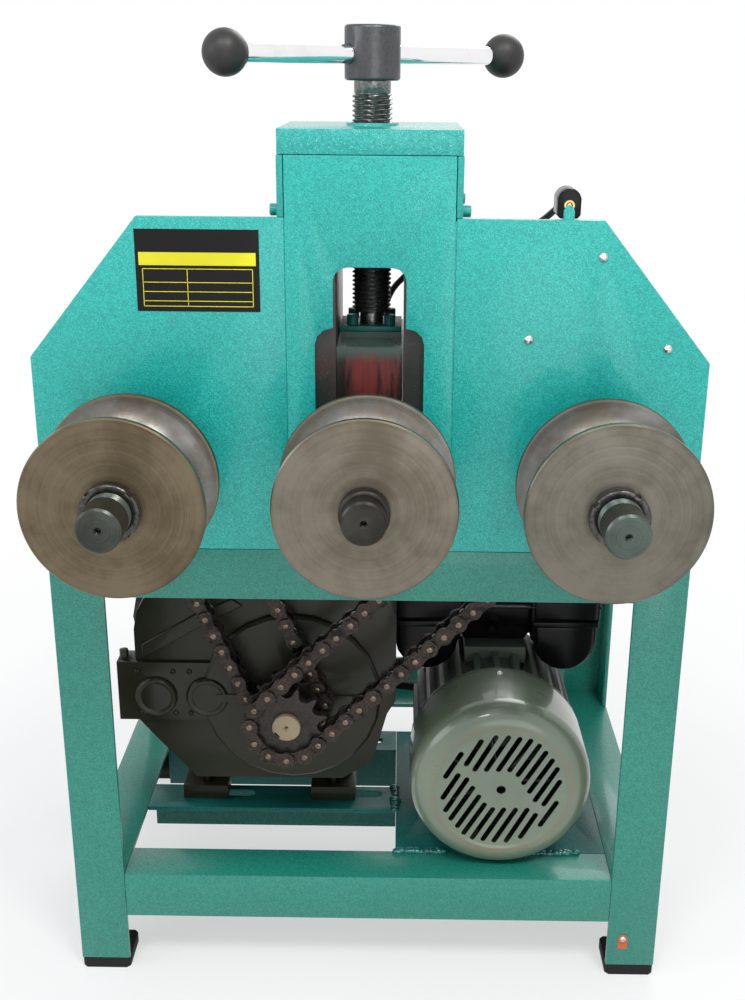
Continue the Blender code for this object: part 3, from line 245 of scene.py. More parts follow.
def castPaint(name, base, dust, rough, grain=120.0, strength=0.3, coat=0.2, depth=0.55):
    paint = Finish(name, coatWeight=coat, coatRoughness=0.15, specularIORLevel=0.32)
    lumps = paint.noise(grain, 4.0, 0.6)
    cloud = paint.noise(14.0, 4.0, 0.6)
    body = paint.mix(paint.span(cloud, 0.30, 0.80) * depth, base, dust)
    body = paint.mix(paint.span(lumps, 0.50, 0.85) * 0.25, body, dust)
    paint.give("baseColor", body)
    paint.give("roughness", paint.span(cloud, 0.2, 0.8, rough - 0.06, rough + 0.10))
    paint.give("normal", paint.bump(lumps, strength, 0.0008))
    return paint.material


def motorPaint(name, base, shade, dust):
    # smooth enamel with fine specks; lighter and warmer round the cover's lip, along its lower edge and on
    # its right side
    paint = Finish(name, coatWeight=0.7, coatRoughness=0.06)
    lumps = paint.noise(26.0, 2.0)
    cloud = paint.noise(16.0, 5.0, 0.6)
    fine = paint.noise(240.0, 3.0, 0.7)
    centre = motor["centre"]
    arm = paint.vector(
        "MULTIPLY", paint.vector("SUBTRACT", paint.place, (centre[0], 0, centre[2])), (1, 0, 1)
    )
    radius = paint.add("VectorMath", {"operation": "LENGTH"}, {0: arm}, 1)
    ring = paint.span(radius, 0.0655, 0.0690) - paint.span(radius, 0.0700, 0.0760)
    low = paint.span(paint.part("Z"), centre[2] - 0.090, centre[2] - 0.055, 1.0, 0.0)
    right = paint.span(paint.part("X"), centre[0] + 0.060, centre[0] + 0.092)
    body = paint.mix(paint.span(cloud, 0.25, 0.80) * 0.8, base, shade)
    body = paint.mix(paint.span(fine, 0.50, 0.85) * 0.22, body, dust)
    # the lip ring, the lower edge and the right side are mixed towards the paler, warmer tone
    body = paint.mix(
        paint.span(ring * 0.50 + low * 0.40 + right * 0.25 + cloud * 0.5, 0.35, 1.15) * 0.85, body, dust
    )
    paint.give("baseColor", body)
    paint.give("roughness", paint.span(cloud, 0.3, 0.7, 0.26, 0.40))
    paint.give("normal", paint.bump(lumps + fine * 0.05, 0.10, 0.0012))
    return paint.material


def mouldedPlastic(name, base, rough, coat=0.0, grain=900.0, strength=0.08, shine=0.5):
    plastic = Finish(name, coatWeight=coat, coatRoughness=0.05, specularIORLevel=shine)
    pores = plastic.noise(grain, 2.0)
    haze = plastic.noise(14.0, 3.0)
    lighter = tone(*[min(1.0, level * 1.6 + 0.002) for level in base[:3]])
    plastic.give("baseColor", plastic.mix(plastic.span(haze, 0.4, 0.8) * 0.5, base, lighter))
    plastic.give("roughness", plastic.span(haze, 0.3, 0.7, rough, rough + 0.10))
    plastic.give("normal", plastic.bump(pores, strength, 0.0003))
    return plastic.material


def platedMetal(name, base, rough):
    plate = Finish(name, metallic=1.0)
    haze = plate.noise(40.0, 3.0)
    scratch = plate.noise(300.0, 2.0, 0.5, (1, 1, 12))
    dull = tone(*[level * 0.72 for level in base[:3]])
    plate.give("baseColor", plate.mix(plate.span(haze, 0.45, 0.8) * 0.5, base, dull))
    plate.give("roughness", plate.span(haze + scratch * 0.3, 0.5, 0.9, rough, rough + 0.08))
    plate.give("normal", plate.bump(scratch, 0.03, 0.0002))
    return plate.material


def slideGrease(name, red, black, green):
    # red primer under streaks of grease, with painted overspray along the block's top
    paint = Finish(name)
    streak = paint.noise(34.0, 4.0, 0.65, (2.6, 1, 0.35))
    wipe = paint.noise(150.0, 3.0, 0.6, (1.5, 1, 0.2))
    side = paint.span(paint.part("X").math("ABSOLUTE"), 0.012, 0.030)
    height = paint.part("Z") + streak * 0.010
    mask = paint.span(streak + wipe * 0.35 + side * 0.30, 0.62, 0.95)
    body = paint.mix(paint.span(wipe, 0.30, 0.7), red, tone(0.085, 0.014, 0.012))
    body = paint.mix(mask, body, black)
    body = paint.mix(paint.span(height, 0.650, 0.664), body, green)
    body = paint.mix(paint.span(height, 0.612, 0.634, 1.0, 0.0) * paint.span(wipe, 0.3, 0.6), body, black)
    paint.give("baseColor", body)
    paint.give("roughness", paint.span(mask, 0.0, 1.0, 0.45, 0.24))
    paint.give("normal", paint.bump(streak + wipe * 0.6, 0.4, 0.0009))
    return paint.material


def guidePaint(name, teal, black, red, pale):
    # painted outside; bare and greasy where the block slides, with pale specks on the greasy faces as
    # painted glints
    paint = Finish(name)
    smear = paint.noise(46.0, 5.0, 0.65, (1, 1, 0.5))
    grit = paint.noise(520.0, 3.0, 0.7)
    outside = paint.span(paint.part("X").math("ABSOLUTE"), 0.0733, 0.0737)
    inside = paint.mix(paint.span(smear, 0.45, 0.75), black, red)
    # pale specks scattered by the grit noise: painted glints on the greasy faces
    inside = paint.mix(paint.span(grit, 0.60, 0.75) * 0.5, inside, pale)
    duller = tone(*[level * 0.7 for level in teal[:3]])
    painted = paint.mix(paint.span(grit, 0.35, 0.65), teal, duller)
    paint.give("baseColor", paint.mix(outside, inside, painted))
    paint.give("roughness", paint.span(smear, 0.3, 0.7, 0.28, 0.44))
    paint.give("normal", paint.bump(smear + grit * 0.4, 0.35, 0.0007))
    return paint.material


def makeFinishes():
    teal = {
        "light": tone(0.016, 0.470, 0.415), "dark": tone(0.003, 0.300, 0.262),
        "glint": tone(0.13, 0.66, 0.60)
    }
    green = {
        "light": tone(0.020, 0.262, 0.198), "dark": tone(0.006, 0.168, 0.122),
        "glint": tone(0.10, 0.38, 0.30)
    }
    # the parts inside the frame take a darker copy of the teal paint: painted shade for the parts under the
    # upper frame and the gearbox
    inner = {
        "light": tone(0.006, 0.150, 0.132), "dark": tone(0.003, 0.100, 0.088),
        "glint": tone(0.03, 0.27, 0.24)
    }
    grey = tone(0.205, 0.205, 0.200)
    sides = roller["sides"]
    return {
        "panelPaint": hammerPaint("panelPaint", **teal, grain=820.0, rough=0.34, strength=0.50),
        # the cap's flecks are far paler than the panels': painted highlight standing in for the flash's
        # glare on the cap
        "capGlarePaint": hammerPaint(
            "capGlarePaint", teal["light"], teal["dark"], tone(0.48, 0.84, 0.82), 820.0, 0.20, 0.80),
        "standPaint": hammerPaint("standPaint", **green, grain=760.0, rough=0.36, strength=0.40),
        "shadedInnerPaint": hammerPaint(
            "shadedInnerPaint", **inner, grain=640.0, rough=0.38, strength=0.30, coat=0.05, shine=0.3
        ),
        # the welds take the same darker copy of the teal: painted shade
        "shadedWeldPaint": hammerPaint("shadedWeldPaint", **inner, grain=300.0, rough=0.14, strength=0.30),
        "leftRollerSteel": turnedSteel(
            "leftRollerSteel", tone(0.185, 0.150, 0.098), tone(0.105, 0.080, 0.048), 0.34, sides["left"],
            grey),
        "middleRollerSteel": turnedSteel(
            "middleRollerSteel", tone(0.215, 0.193, 0.155), tone(0.130, 0.112, 0.083), 0.34,
            sides["middle"], grey),
        "rightRollerSteel": turnedSteel(
            "rightRollerSteel", tone(0.185, 0.170, 0.140), tone(0.110, 0.098, 0.076), 0.34, sides["right"],
            grey),
        "leftShaftSteel": turnedSteel(
            "leftShaftSteel", tone(0.095, 0.105, 0.090), tone(0.040, 0.044, 0.038), 0.30, sides["left"]
        ),
        "middleShaftSteel": turnedSteel(
            "middleShaftSteel", tone(0.060, 0.058, 0.050), tone(0.026, 0.025, 0.022), 0.32, sides["middle"]
        ),
        "rightShaftSteel": turnedSteel(
            "rightShaftSteel", tone(0.100, 0.125, 0.110), tone(0.045, 0.058, 0.052), 0.30, sides["right"]
        ),
        "nutSteel": greasySteel(
            "nutSteel", tone(0.105, 0.102, 0.098), tone(0.045, 0.044, 0.042), 0.26, 0.9, 0.2
        ),
        "screwSteel": greasySteel(
            "screwSteel", tone(0.240, 0.250, 0.240), tone(0.075, 0.078, 0.075), 0.26, 0.9, 0.2
        ),
        "darkSteel": greasySteel(
            "darkSteel", tone(0.055, 0.052, 0.050), tone(0.014, 0.013, 0.014), 0.34, 0.8, 0.4
        ),
        "chainSteel": greasySteel(
            "chainSteel", tone(0.058, 0.045, 0.037), tone(0.012, 0.010, 0.009), 0.42, 0.7, 0.45
        ),
        "pinSteel": greasySteel(
            "pinSteel", tone(0.235, 0.175, 0.135), tone(0.085, 0.060, 0.045), 0.34, 0.9, 0.2
        ),
        "sprocketSteel": greasySteel(
            "sprocketSteel", tone(0.046, 0.040, 0.036), tone(0.026, 0.022, 0.020), 0.46, 0.7, 0.2
        ),
        "shaftFace": castPaint(
            "shaftFace", tone(0.300, 0.245, 0.160), tone(0.150, 0.095, 0.048), 0.42, 300.0, 0.2, 0.0
        ),
        "grease": mouldedPlastic("grease", tone(0.004, 0.004, 0.005), 0.12, 0.3, 160.0, 0.5, 0.35),
        "slideGrease": slideGrease(
            "slideGrease", tone(0.150, 0.018, 0.016), tone(0.016, 0.013, 0.012), tone(0.045, 0.075, 0.064)
        ),
        # the last tone is the pale speck colour, a painted glint on the greasy faces
        "guidePaint": guidePaint(
            "guidePaint", tone(0.012, 0.385, 0.340), tone(0.030, 0.034, 0.030), tone(0.070, 0.020, 0.018),
            tone(0.20, 0.22, 0.19)
        ),
        "gearboxPaint": castPaint(
            "gearboxPaint", tone(0.0165, 0.0160, 0.0085), tone(0.031, 0.027, 0.014), 0.36, 90.0, 0.35, 0.08,
            0.8
        ),
        "motorPaint": motorPaint(
            "motorPaint", tone(0.150, 0.190, 0.128), tone(0.105, 0.145, 0.105), tone(0.175, 0.135, 0.075)
        ),
        "finPaint": castPaint(
            "finPaint", tone(0.085, 0.108, 0.082), tone(0.105, 0.105, 0.072), 0.44, 110.0, 0.2, 0.0, 0.6
        ),
        "blackPlastic": mouldedPlastic(
            "blackPlastic", tone(0.0040, 0.0040, 0.0042), 0.20, 0.0, 900.0, 0.08, 0.20
        ),
        "satinBlack": greasySteel(
            "satinBlack", tone(0.100, 0.103, 0.107), tone(0.078, 0.080, 0.083), 0.34, 0.85, 0.1
        ),
        "knobBlack": mouldedPlastic("knobBlack", tone(0.012, 0.0115, 0.011), 0.40, 0.0, 700.0, 0.12, 0.5),
        "cableSheath": mouldedPlastic("cableSheath", tone(0.007, 0.007, 0.007), 0.42, shine=0.3),
        "rubber": mouldedPlastic("rubber", tone(0.010, 0.010, 0.010), 0.75, 0.0, 260.0, 0.3, 0.3),
        "chrome": platedMetal("chrome", tone(0.90, 0.90, 0.91), 0.10),
        "zinc": platedMetal("zinc", tone(0.66, 0.66, 0.63), 0.26),
        "brass": platedMetal("brass", tone(0.62, 0.46, 0.22), 0.28),
        "blackOxide": platedMetal("blackOxide", tone(0.022, 0.020, 0.019), 0.32),
        "labelBlack": mouldedPlastic("labelBlack", tone(0.006, 0.006, 0.006), 0.35, 0.0, shine=0.2),
        "labelYellow": mouldedPlastic("labelYellow", tone(0.68, 0.62, 0.02), 0.34, 0.0, shine=0.3),
        "safetyOrange": mouldedPlastic("safetyOrange", tone(0.50, 0.10, 0.03), 0.4, 0.0),
    }


# modelling helpers, each a short run of Blender's own tools

axisWays = {"X": Vector((1, 0, 0)), "Y": Vector((0, 1, 0)), "Z": Vector((0, 0, 1))}
axisOuts = {"X": Vector((0, 0, 1)), "Y": Vector((0, 0, 1)), "Z": Vector((1, 0, 0))}


def deselect():
    bpy.ops.object.select_all(action="DESELECT")


def choose(*pieces):
    deselect()
    for piece in pieces:
        piece.select_set(True)
    bpy.context.view_layer.objects.active = pieces[0]


def openMesh(piece):
    choose(piece)
    bpy.ops.object.mode_set(mode="EDIT")
    bpy.ops.mesh.select_all(action="SELECT")


def closeMesh():
    bpy.ops.object.mode_set(mode="OBJECT")


def applied(piece, kind, **settings):
    choose(piece)
    step = piece.modifiers.new(kind.title(), kind)
    for key, setting in settings.items():
        setattr(step, key, setting)
    bpy.ops.object.modifier_apply(modifier=step.name)
    return piece


def rounded(piece, width, segments=2, angle=35):
    return applied(
        piece, "BEVEL", width=width, segments=segments, limit_method="ANGLE", angle_limit=math.radians(angle)
    )


def cutBy(piece, tool, operation="DIFFERENCE"):
    applied(piece, "BOOLEAN", object=tool, operation=operation, solver="EXACT")
    bpy.data.objects.remove(tool)
    return piece


def joined(name, pieces):
    choose(*pieces)
    if len(pieces) > 1:
        bpy.ops.object.join()
    whole = bpy.context.object
    whole.name = name
    return whole


def settled(piece):
    choose(piece)
    bpy.ops.object.transform_apply(location=True, rotation=True, scale=True)
    return piece


def copied(piece, move):
    twin = piece.copy()
    twin.data = piece.data.copy()
    bpy.context.scene.collection.objects.link(twin)
    twin.data.transform(move)
    return twin


def done(piece, finish, body, nodes=(), angle=35):
    # the piece gets its finish and its body, and stands for the CAD nodes named
    choose(piece)
    bpy.ops.object.shade_smooth_by_angle(angle=math.radians(angle))
    if finish:
        piece.data.materials.clear()
        piece.data.materials.append(finishes[finish])
    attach(piece, body)
    if nodes:
        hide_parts(*nodes)
    return piece


def turned(name, profile, centre, axis="Y", steps=96):
    # one vertex is extruded along the profile of (radius, place along the axis), then spun
    way, out = axisWays[axis], axisOuts[axis]
    points = [Vector(centre) + out * radius + way * along for radius, along in profile]
    deselect()
    bpy.ops.mesh.primitive_plane_add(size=0.001, location=points[0])
    piece = bpy.context.object
    piece.name = name
    openMesh(piece)
    bpy.ops.mesh.merge(type="CENTER")
    for before, after in zip(points, points[1:]):
        bpy.ops.mesh.extrude_vertices_move(TRANSFORM_OT_translate={"value": after - before})
    bpy.ops.mesh.select_all(action="SELECT")
    bpy.ops.mesh.spin(steps=steps, angle=2 * math.pi, center=centre, axis=way)
    bpy.ops.mesh.select_all(action="SELECT")
    bpy.ops.mesh.remove_doubles(threshold=0.00001)
    bpy.ops.mesh.normals_make_consistent(inside=False)
    closeMesh()
    return settled(piece)


def plate(name, outline, low, high, axis="Y", middle=(0, 0, 0)):
    # a filled circle whose points are set on the outline, then extruded to its thickness
    way = axisWays[axis]
    first, second = [axisWays[letter] for letter in "XYZ" if letter != axis]
    deselect()
    bpy.ops.mesh.primitive_circle_add(vertices=len(outline), radius=0.01, fill_type="NGON")
    piece = bpy.context.object
    piece.name = name
    for vertex, (across, up) in zip(piece.data.vertices, outline):
        vertex.co = Vector(middle) + first * across + second * up + way * low
    openMesh(piece)
    bpy.ops.mesh.extrude_region_move(TRANSFORM_OT_translate={"value": way * (high - low)})
    bpy.ops.mesh.select_all(action="SELECT")
    bpy.ops.mesh.normals_make_consistent(inside=False)
    closeMesh()
    return piece


def block(name, low, high, edge=0.0, segments=2):
    deselect()
    middle = (Vector(low) + Vector(high)) / 2
    size = Vector(high) - Vector(low)
    bpy.ops.mesh.primitive_cube_add(size=1, location=middle, scale=size)
    piece = settled(bpy.context.object)
    piece.name = name
    if edge:
        rounded(piece, edge, segments)
    return piece


def arc(centre, radius, start, end, steps):
    turns = [math.radians(start + (end - start) * step / steps) for step in range(steps + 1)]
    return [(centre[0] + radius * math.cos(turn), centre[1] + radius * math.sin(turn)) for turn in turns]


def refined(node, finish, body="frame", edge=0.0008, segments=2, angle=30):
    # a merged copy of a CAD node with its edges rounded, as the real edges are
    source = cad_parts[node]
    piece = source.copy()
    piece.data = source.data.copy()
    bpy.context.scene.collection.objects.link(piece)
    piece.parent = None
    piece.name = node + "Dressed"
    openMesh(piece)
    bpy.ops.mesh.remove_doubles(threshold=0.000005)
    bpy.ops.mesh.dissolve_limited(angle_limit=math.radians(1.0))
    bpy.ops.mesh.normals_make_consistent(inside=False)
    closeMesh()
    choose(piece)
    bpy.ops.mesh.customdata_custom_splitnormals_clear()
    rounded(piece, edge, segments, angle)
    return done(piece, finish, body, (node,), angle)


def headOn(prototype, place, way):
    turn = Vector((0, 0, 1)).rotation_difference(Vector(way)).to_matrix().to_4x4()
    spot = Vector(place) + Vector((0, datumY, 0))
    return copied(prototype, Matrix.Translation(spot) @ turn)


def fasteners(name, prototype, spots, finish, body="frame"):
    heads = [headOn(prototype, place, way) for place, way in spots]
    bpy.data.objects.remove(prototype)
    return done(joined(name, heads), finish, body)


def hexBolt(across, height, washer=0.0):
    head = turned(
        "head", [(0, 0), (across * 0.577, 0), (across * 0.577, height), (0, height)], (0, 0, 0), "Z", 6
    )
    rounded(head, across * 0.035, 2, 50)
    crown = turned(
        "crown", [(0, 0), (across * 0.66, 0), (across * 0.5, height), (0, height)], (0, 0, 0), "Z", 32
    )
    cutBy(head, crown, "INTERSECT")
    if washer:
        ring = turned("ring", [(0, 0), (washer, 0), (washer, 0.0015), (0, 0.0015)], (0, 0, 0), "Z", 32)
        rounded(ring, 0.0004)
        head.data.transform(Matrix.Translation((0, 0, 0.0014)))
        head = joined("head", [head, ring])
    return head


def panHead(radius, height, slotWidth):
    rim = [(radius * math.cos(turn), height * math.sin(turn)) for turn in (0.0, 0.35, 0.7, 1.05, 1.3)]
    head = turned("head", [(0, 0), *rim, (0, height)], (0, 0, 0), "Z", 32)
    for turn in (0, 90):
        tool = block(
            "tool", (-radius * 0.55, -slotWidth / 2, height * 0.45),
            (radius * 0.55, slotWidth / 2, height * 2)
        )
        tool.data.transform(Matrix.Rotation(math.radians(turn), 4, "Z"))
        cutBy(head, tool)
    return head


def socketHead(radius, height, recess):
    profile = [(0, 0), (radius, 0), (radius, height - 0.0008), (radius - 0.0008, height), (0, height)]
    head = turned("head", profile, (0, 0, 0), "Z", 32)
    tool = turned(
        "tool", [(0, height * 0.4), (recess, height * 0.4), (recess, height * 2), (0, height * 2)],
        (0, 0, 0), "Z", 6
    )
    return cutBy(head, tool)


# rollers with their shafts and ring nuts

roller = {
    "radius": 0.0765, "bore": 0.0188, "front": -0.1434, "rear": -0.0542, "groove": 0.038, "edge": 0.0012,
    "sides": {"left": (-0.205, 0.555), "middle": (0.0, 0.5565), "right": (0.205, 0.555)},
}


def makeRollers():
    front, rear, edge = roller["front"], roller["rear"], roller["edge"]
    middle = (front + rear) / 2
    rim = roller["radius"]
    groove = [(rim - roller["groove"] * math.sin(turn), middle - roller["groove"] * math.cos(turn))
              for turn in [math.pi * step / 36 for step in range(37)]]
    profile = [
        (roller["bore"], front + 0.0006), (roller["bore"] + 0.0006, front), (rim - edge, front),
        (rim, front + edge)
    ]
    profile += groove
    profile += [
        (rim, rear - edge), (rim - edge, rear), (roller["bore"], rear), (roller["bore"], front + 0.0006)
    ]
    for side, (x, z) in roller["sides"].items():
        piece = turned(side + "RollerTurned", profile, (x, datumY, z), "Y", 128)
        rounded(piece, 0.0005, 2, 50)
        done(piece, side + "RollerSteel", side + "_roller_set", (side + "_roller",))


shaft = {
    "radius": 0.0185, "end": -0.195, "middleEnd": -0.175, "collar": 0.030, "bevel": 0.0018,
    "nutFront": -0.1527, "nutRear": -0.1437, "nutRadius": 0.02475, "threadDepth": 0.0005,
    "notches": 4, "notchTurn": {"left": 46, "right": 32},
}


def centreDrilled(end):
    # the small lathe centre in a shaft's end face
    return [(0, end + 0.0060), (0.0012, end + 0.0045), (0.0013, end + 0.0022), (0.0032, end)]


def makeShafts():
    radius, bevel = shaft["radius"], shaft["bevel"]
    for side, (x, z) in roller["sides"].items():
        if side == "middle":
            continue
        end = shaft["end"]
        profile = centreDrilled(end) + [(radius - bevel, end), (radius, end + bevel)]
        place = shaft["nutFront"] - 0.0120
        profile.append((radius, place))
        while place < shaft["nutRear"]:           # turned thread grooves that the ring nut runs on
            profile += [(radius - shaft["threadDepth"], place + 0.0004), (radius, place + 0.0009)]
            place += 0.0015
        profile += [
            (radius, -0.0539), (shaft["collar"], -0.0539), (shaft["collar"], -0.0423), (radius, -0.0423)
        ]
        profile += [(radius, 0.153), (radius - bevel, 0.155), (0, 0.155)]
        piece = turned(side + "ShaftTurned", profile, (x, datumY, z), "Y", 72)
        done(piece, side + "ShaftSteel", side + "_roller_set", (side + "_shaft",))
        ring = [(radius + 0.0003, shaft["nutRear"]), (shaft["nutRadius"], shaft["nutRear"])]
        ring += [
            (shaft["nutRadius"], shaft["nutFront"] + 0.001), (shaft["nutRadius"] - 0.001, shaft["nutFront"])
        ]
        ring += [(radius + 0.0003, shaft["nutFront"]), (radius + 0.0003, shaft["nutRear"])]
        nut = turned(side + "RingNutTurned", ring, (x, datumY, z), "Y", 72)
        for step in range(shaft["notches"]):
            notch = block("notch", (-0.0026, -0.160, 0.0228), (0.0026, -0.140, 0.030))
            turnBy = shaft["notchTurn"][side] + 360 / shaft["notches"] * step
            notch.data.transform(
                Matrix.Translation((x, datumY, z)) @ Matrix.Rotation(math.radians(turnBy), 4, "Y")
            )
            cutBy(nut, notch)
        rounded(nut, 0.0004, 2, 40)
        done(nut, "nutSteel", side + "_roller_set", (side + "_ring_nut",))
    end = shaft["middleEnd"]
    profile = centreDrilled(end) + [(radius - bevel, end), (radius, end + bevel), (radius, -0.1560)]
    profile += [
        (0.0200, -0.1556), (0.0210, -0.1546), (0.0210, -0.1437), (radius, -0.1437), (radius, -0.0539)
    ]
    profile += [
        (0.0295, -0.0539), (0.0300, -0.0534), (0.0300, 0.0083), (radius, 0.0083), (radius, 0.148),
        (0, 0.148)
    ]
    piece = turned("middleShaftTurned", profile, (0, datumY, 0.5565), "Y", 72)
    done(piece, "middleShaftSteel", "middle_roller_set", ("middle_shaft",))
    for side in ("left", "right"):
        x, z = roller["sides"][side]
        profile = [
            (0.0188, -0.0003), (0.055, -0.0003), (0.055, -0.0115), (0.0542, -0.0123), (0.0430, -0.0123)
        ]
        profile += [
            (0.0420, -0.0133), (0.0420, -0.0410), (0.0410, -0.0420), (0.0188, -0.0420), (0.0188, -0.0003)
        ]
        piece = turned(side + "FrontBearingTurned", profile, (x, datumY, z), "Y", 72)
        done(piece, "darkSteel", "frame", (side + "_front_bearing",))
    bolts = []
    for side in ("left", "right"):
        x, z = roller["sides"][side]
        for turn in range(45, 405, 90):
            spot = Vector(
                (
                    x + 0.0480 * math.cos(math.radians(turn)), -0.0123,
                    z + 0.0480 * math.sin(math.radians(turn))
                )
            )
            bolts.append((spot, (0, -1, 0)))
    fasteners("bearingBolts", socketHead(0.0045, 0.005, 0.0024), bolts, "blackOxide")


# pressing screw, its hub, bar and ball knobs

press = {
    "centre": (0.0, -0.0465, 0.0), "radius": 0.018, "root": 0.0157, "pitch": 0.004, "low": 0.6802,
    "high": 0.871,
    "barTurn": 32.5, "barHeight": 0.9025, "ball": 0.019, "ballReach": 0.1414,
}


def makeScrew():
    radius, low, high, pitch = press["radius"], press["low"], press["high"], press["pitch"]
    profile = [
        (0, 0.6526), (0.0130, 0.6526), (0.0140, 0.6536), (0.0140, 0.6649), (0.01075, 0.6649), (0.01075, low)
    ]
    rows = int((high - low) / pitch * 8)
    profile += [(radius, low + (high - low) * (row + 0.5) / rows) for row in range(rows)]
    profile += [(0.0163, high + 0.0004), (0.0163, 0.8807), (0.0100, 0.8807), (0.0100, 0.893), (0, 0.893)]
    piece = turned("leadScrewCut", profile, press["centre"], "Z", 48)
    axis = Vector(press["centre"])
    for vertex in piece.data.vertices:             # each row is pressed in to follow the thread's helix
        arm = (vertex.co - axis) * Vector((1, 1, 0))
        if arm.length < radius - 0.0002:
            continue
        phase = (vertex.co.z / pitch - math.atan2(arm.y, arm.x) / (2 * math.pi)) % 1.0
        depth = min(1.0, max(0.0, (abs(2 * phase - 1) - 0.14) / 0.72))
        fade = min(1.0, (vertex.co.z - low) / 0.002, (high - vertex.co.z) / 0.002)
        depth = 1.0 - (1.0 - depth) * max(0.0, fade)
        wanted = radius - (radius - press["root"]) * depth
        vertex.co += arm.normalized() * (wanted - arm.length)
    done(piece, "screwSteel", "press_screw", ("lead_screw",), 50)


def makeHandle():
    centre = press["centre"]
    turn = Matrix.Translation(centre) @ Matrix.Rotation(math.radians(press["barTurn"]), 4, "Z")
    low, high, edge, radius = 0.881, 0.9265, 0.0028, 0.0245
    profile = [(0, 0.8933), (0.0103, 0.8933), (0.0103, low)]
    profile += arc((radius - edge, low + edge), edge, -90, 0, 6) + arc(
        (radius - edge, high - edge), edge, 0, 90, 6
    )
    profile += [(0.0060, high), (0.0054, high - 0.0010), (0, high - 0.0010)]
    hub = turned("handleHubTurned", profile, centre, "Z", 96)
    tool = turned(
        "tool", [(0, -0.04), (0.0083, -0.04), (0.0083, 0.04), (0, 0.04)], (0, 0, press["barHeight"]), "X",
        48
    )
    tool.data.transform(turn)
    cutBy(hub, tool)
    rounded(hub, 0.0005, 2, 40)
    done(hub, "satinBlack", "press_screw", ("handle_hub",))

    bar = turned(
        "handleBar", [(0, -0.1347), (0.008, -0.1347), (0.008, 0.1347), (0, 0.1347)],
        (0, 0, press["barHeight"]), "X", 48
    )
    bar.data.transform(turn)
    done(bar, "chrome", "press_screw", ("handle_rod",))
    radius, reach = press["ball"], press["ballReach"]
    ball = [(0, 0.1350), (0.0083, 0.1350), (0.0083, reach - 0.0172), (0.0096, reach - 0.0170)]
    ball += [(radius * math.sin(turnBy), reach - radius * math.cos(turnBy)) for turnBy in
             [0.52 + (math.pi - 0.52) * step / 26 for step in range(27)]]
    ball[-1] = (0, reach + radius)
    for side, half in (("left", 180), ("right", 0)):
        knob = turned(side + "KnobTurned", ball, (0, 0, press["barHeight"]), "X", 64)
        knob.data.transform(turn @ Matrix.Rotation(math.radians(half), 4, "Z"))
        done(knob, "knobBlack", "press_screw", (side + "_ball_knob",))


# roller chains and sprockets

chain = {
    "pitch": 0.01905, "teeth": 12, "pitchRadius": 0.036802, "drive": (-0.0818744, 0.2761755),
    "right": {"end": (0.205, 0.555), "runs": 21, "middle": 0.028},
    "left": {"end": (-0.205, 0.555), "runs": 16, "middle": 0.068},
    "plateRadius": 0.0084, "waist": 0.0058, "rollerRadius": 0.00515, "pinRadius": 0.0029,
}


def chainPins(start, end, runs):
    along = (end - start).normalized()
    across = Vector((-along.y, along.x))
    pins = []
    for centre, first, way in ((start, 90, 1), (end, 270, -1)):
        for step in range(chain["teeth"] // 2):
            turn = math.radians(first + 30 * (step + 0.5))
            pins.append(centre + chain["pitchRadius"] * (math.cos(turn) * along + math.sin(turn) * across))
        last = pins[-1]
        pins += [last + way * along * chain["pitch"] * (step + 1) for step in range(runs)]
    return pins


def linkPlate(low, high):
    # a waisted plate between two pins at 0 and one pitch along X
    radius, pitch = chain["plateRadius"], chain["pitch"]
    outline = arc((0, 0), radius, 52, 308, 9)
    outline += [(pitch / 2, -chain["waist"])] + arc(
        (pitch, 0), radius, -128, 128, 9
    ) + [(pitch / 2, chain["waist"])]
    return rounded(plate("linkPlate", outline, low, high), 0.0003, 1)


def roundBar(radius, low, high, x, steps, dome=0.0):
    profile = [(0, low - dome), (radius * 0.7, low - dome * 0.8), (radius, low), (radius, high)]
    return turned(
        "bar", profile + [(radius * 0.7, high + dome * 0.8), (0, high + dome)], (x, 0, 0), "Y", steps
    )


def makeChain(side):
    start, end = Vector(chain["drive"]), Vector(chain[side]["end"])
    pins = chainPins(start, end, chain[side]["runs"])
    pitch, middle = chain["pitch"], chain[side]["middle"] + datumY
    outer = joined("outer", [linkPlate(0.0091, 0.0113), linkPlate(-0.0113, -0.0091)])
    inner = [linkPlate(0.0064, 0.0086), linkPlate(-0.0086, -0.0064)]
    inner += [roundBar(chain["rollerRadius"], -0.0062, 0.0062, x, 14) for x in (0, pitch)]
    inner = joined("inner", inner)
    pin = roundBar(chain["pinRadius"], -0.0115, 0.0115, 0, 12, 0.0005)
    plates, heads, lumps = [], [], []
    for index, spot in enumerate(pins):
        run = pins[(index + 1) % len(pins)] - spot
        turn = Matrix.Translation((spot.x, middle, spot.y)) @ Matrix.Rotation(
            -math.atan2(run.y, run.x), 4, "Y"
        )
        plates.append(copied((inner, outer)[index % 2], turn))
        heads.append(copied(pin, turn))
        if random.random() < 0.85:                 # grease squeezed out between the plates
            bpy.ops.mesh.primitive_ico_sphere_add(subdivisions=2, radius=1)
            lump = bpy.context.object
            size = random.uniform(0.0030, 0.0052)
            reach = Vector((random.uniform(0.2, 0.8) * pitch, 0, random.choice((-1, 1)) * 0.0034))
            scale = Matrix.Diagonal((size * random.uniform(1.0, 1.5), 0.0060, size * 0.8, 1))
            lump.data.transform(turn @ Matrix.Translation(reach) @ scale)
            for vertex in lump.data.vertices:
                vertex.co += Vector([random.uniform(-0.0004, 0.0004) for axis in range(3)])
            lumps.append(lump)
    for pattern in (outer, inner, pin):
        bpy.data.objects.remove(pattern)
    done(joined(side + "ChainLinks", plates), "chainSteel", "frame", (side + "_chain",))
    done(joined(side + "ChainPins", heads), "pinSteel", "frame")
    done(joined(side + "ChainGrease", lumps), "grease", "frame", angle=80)


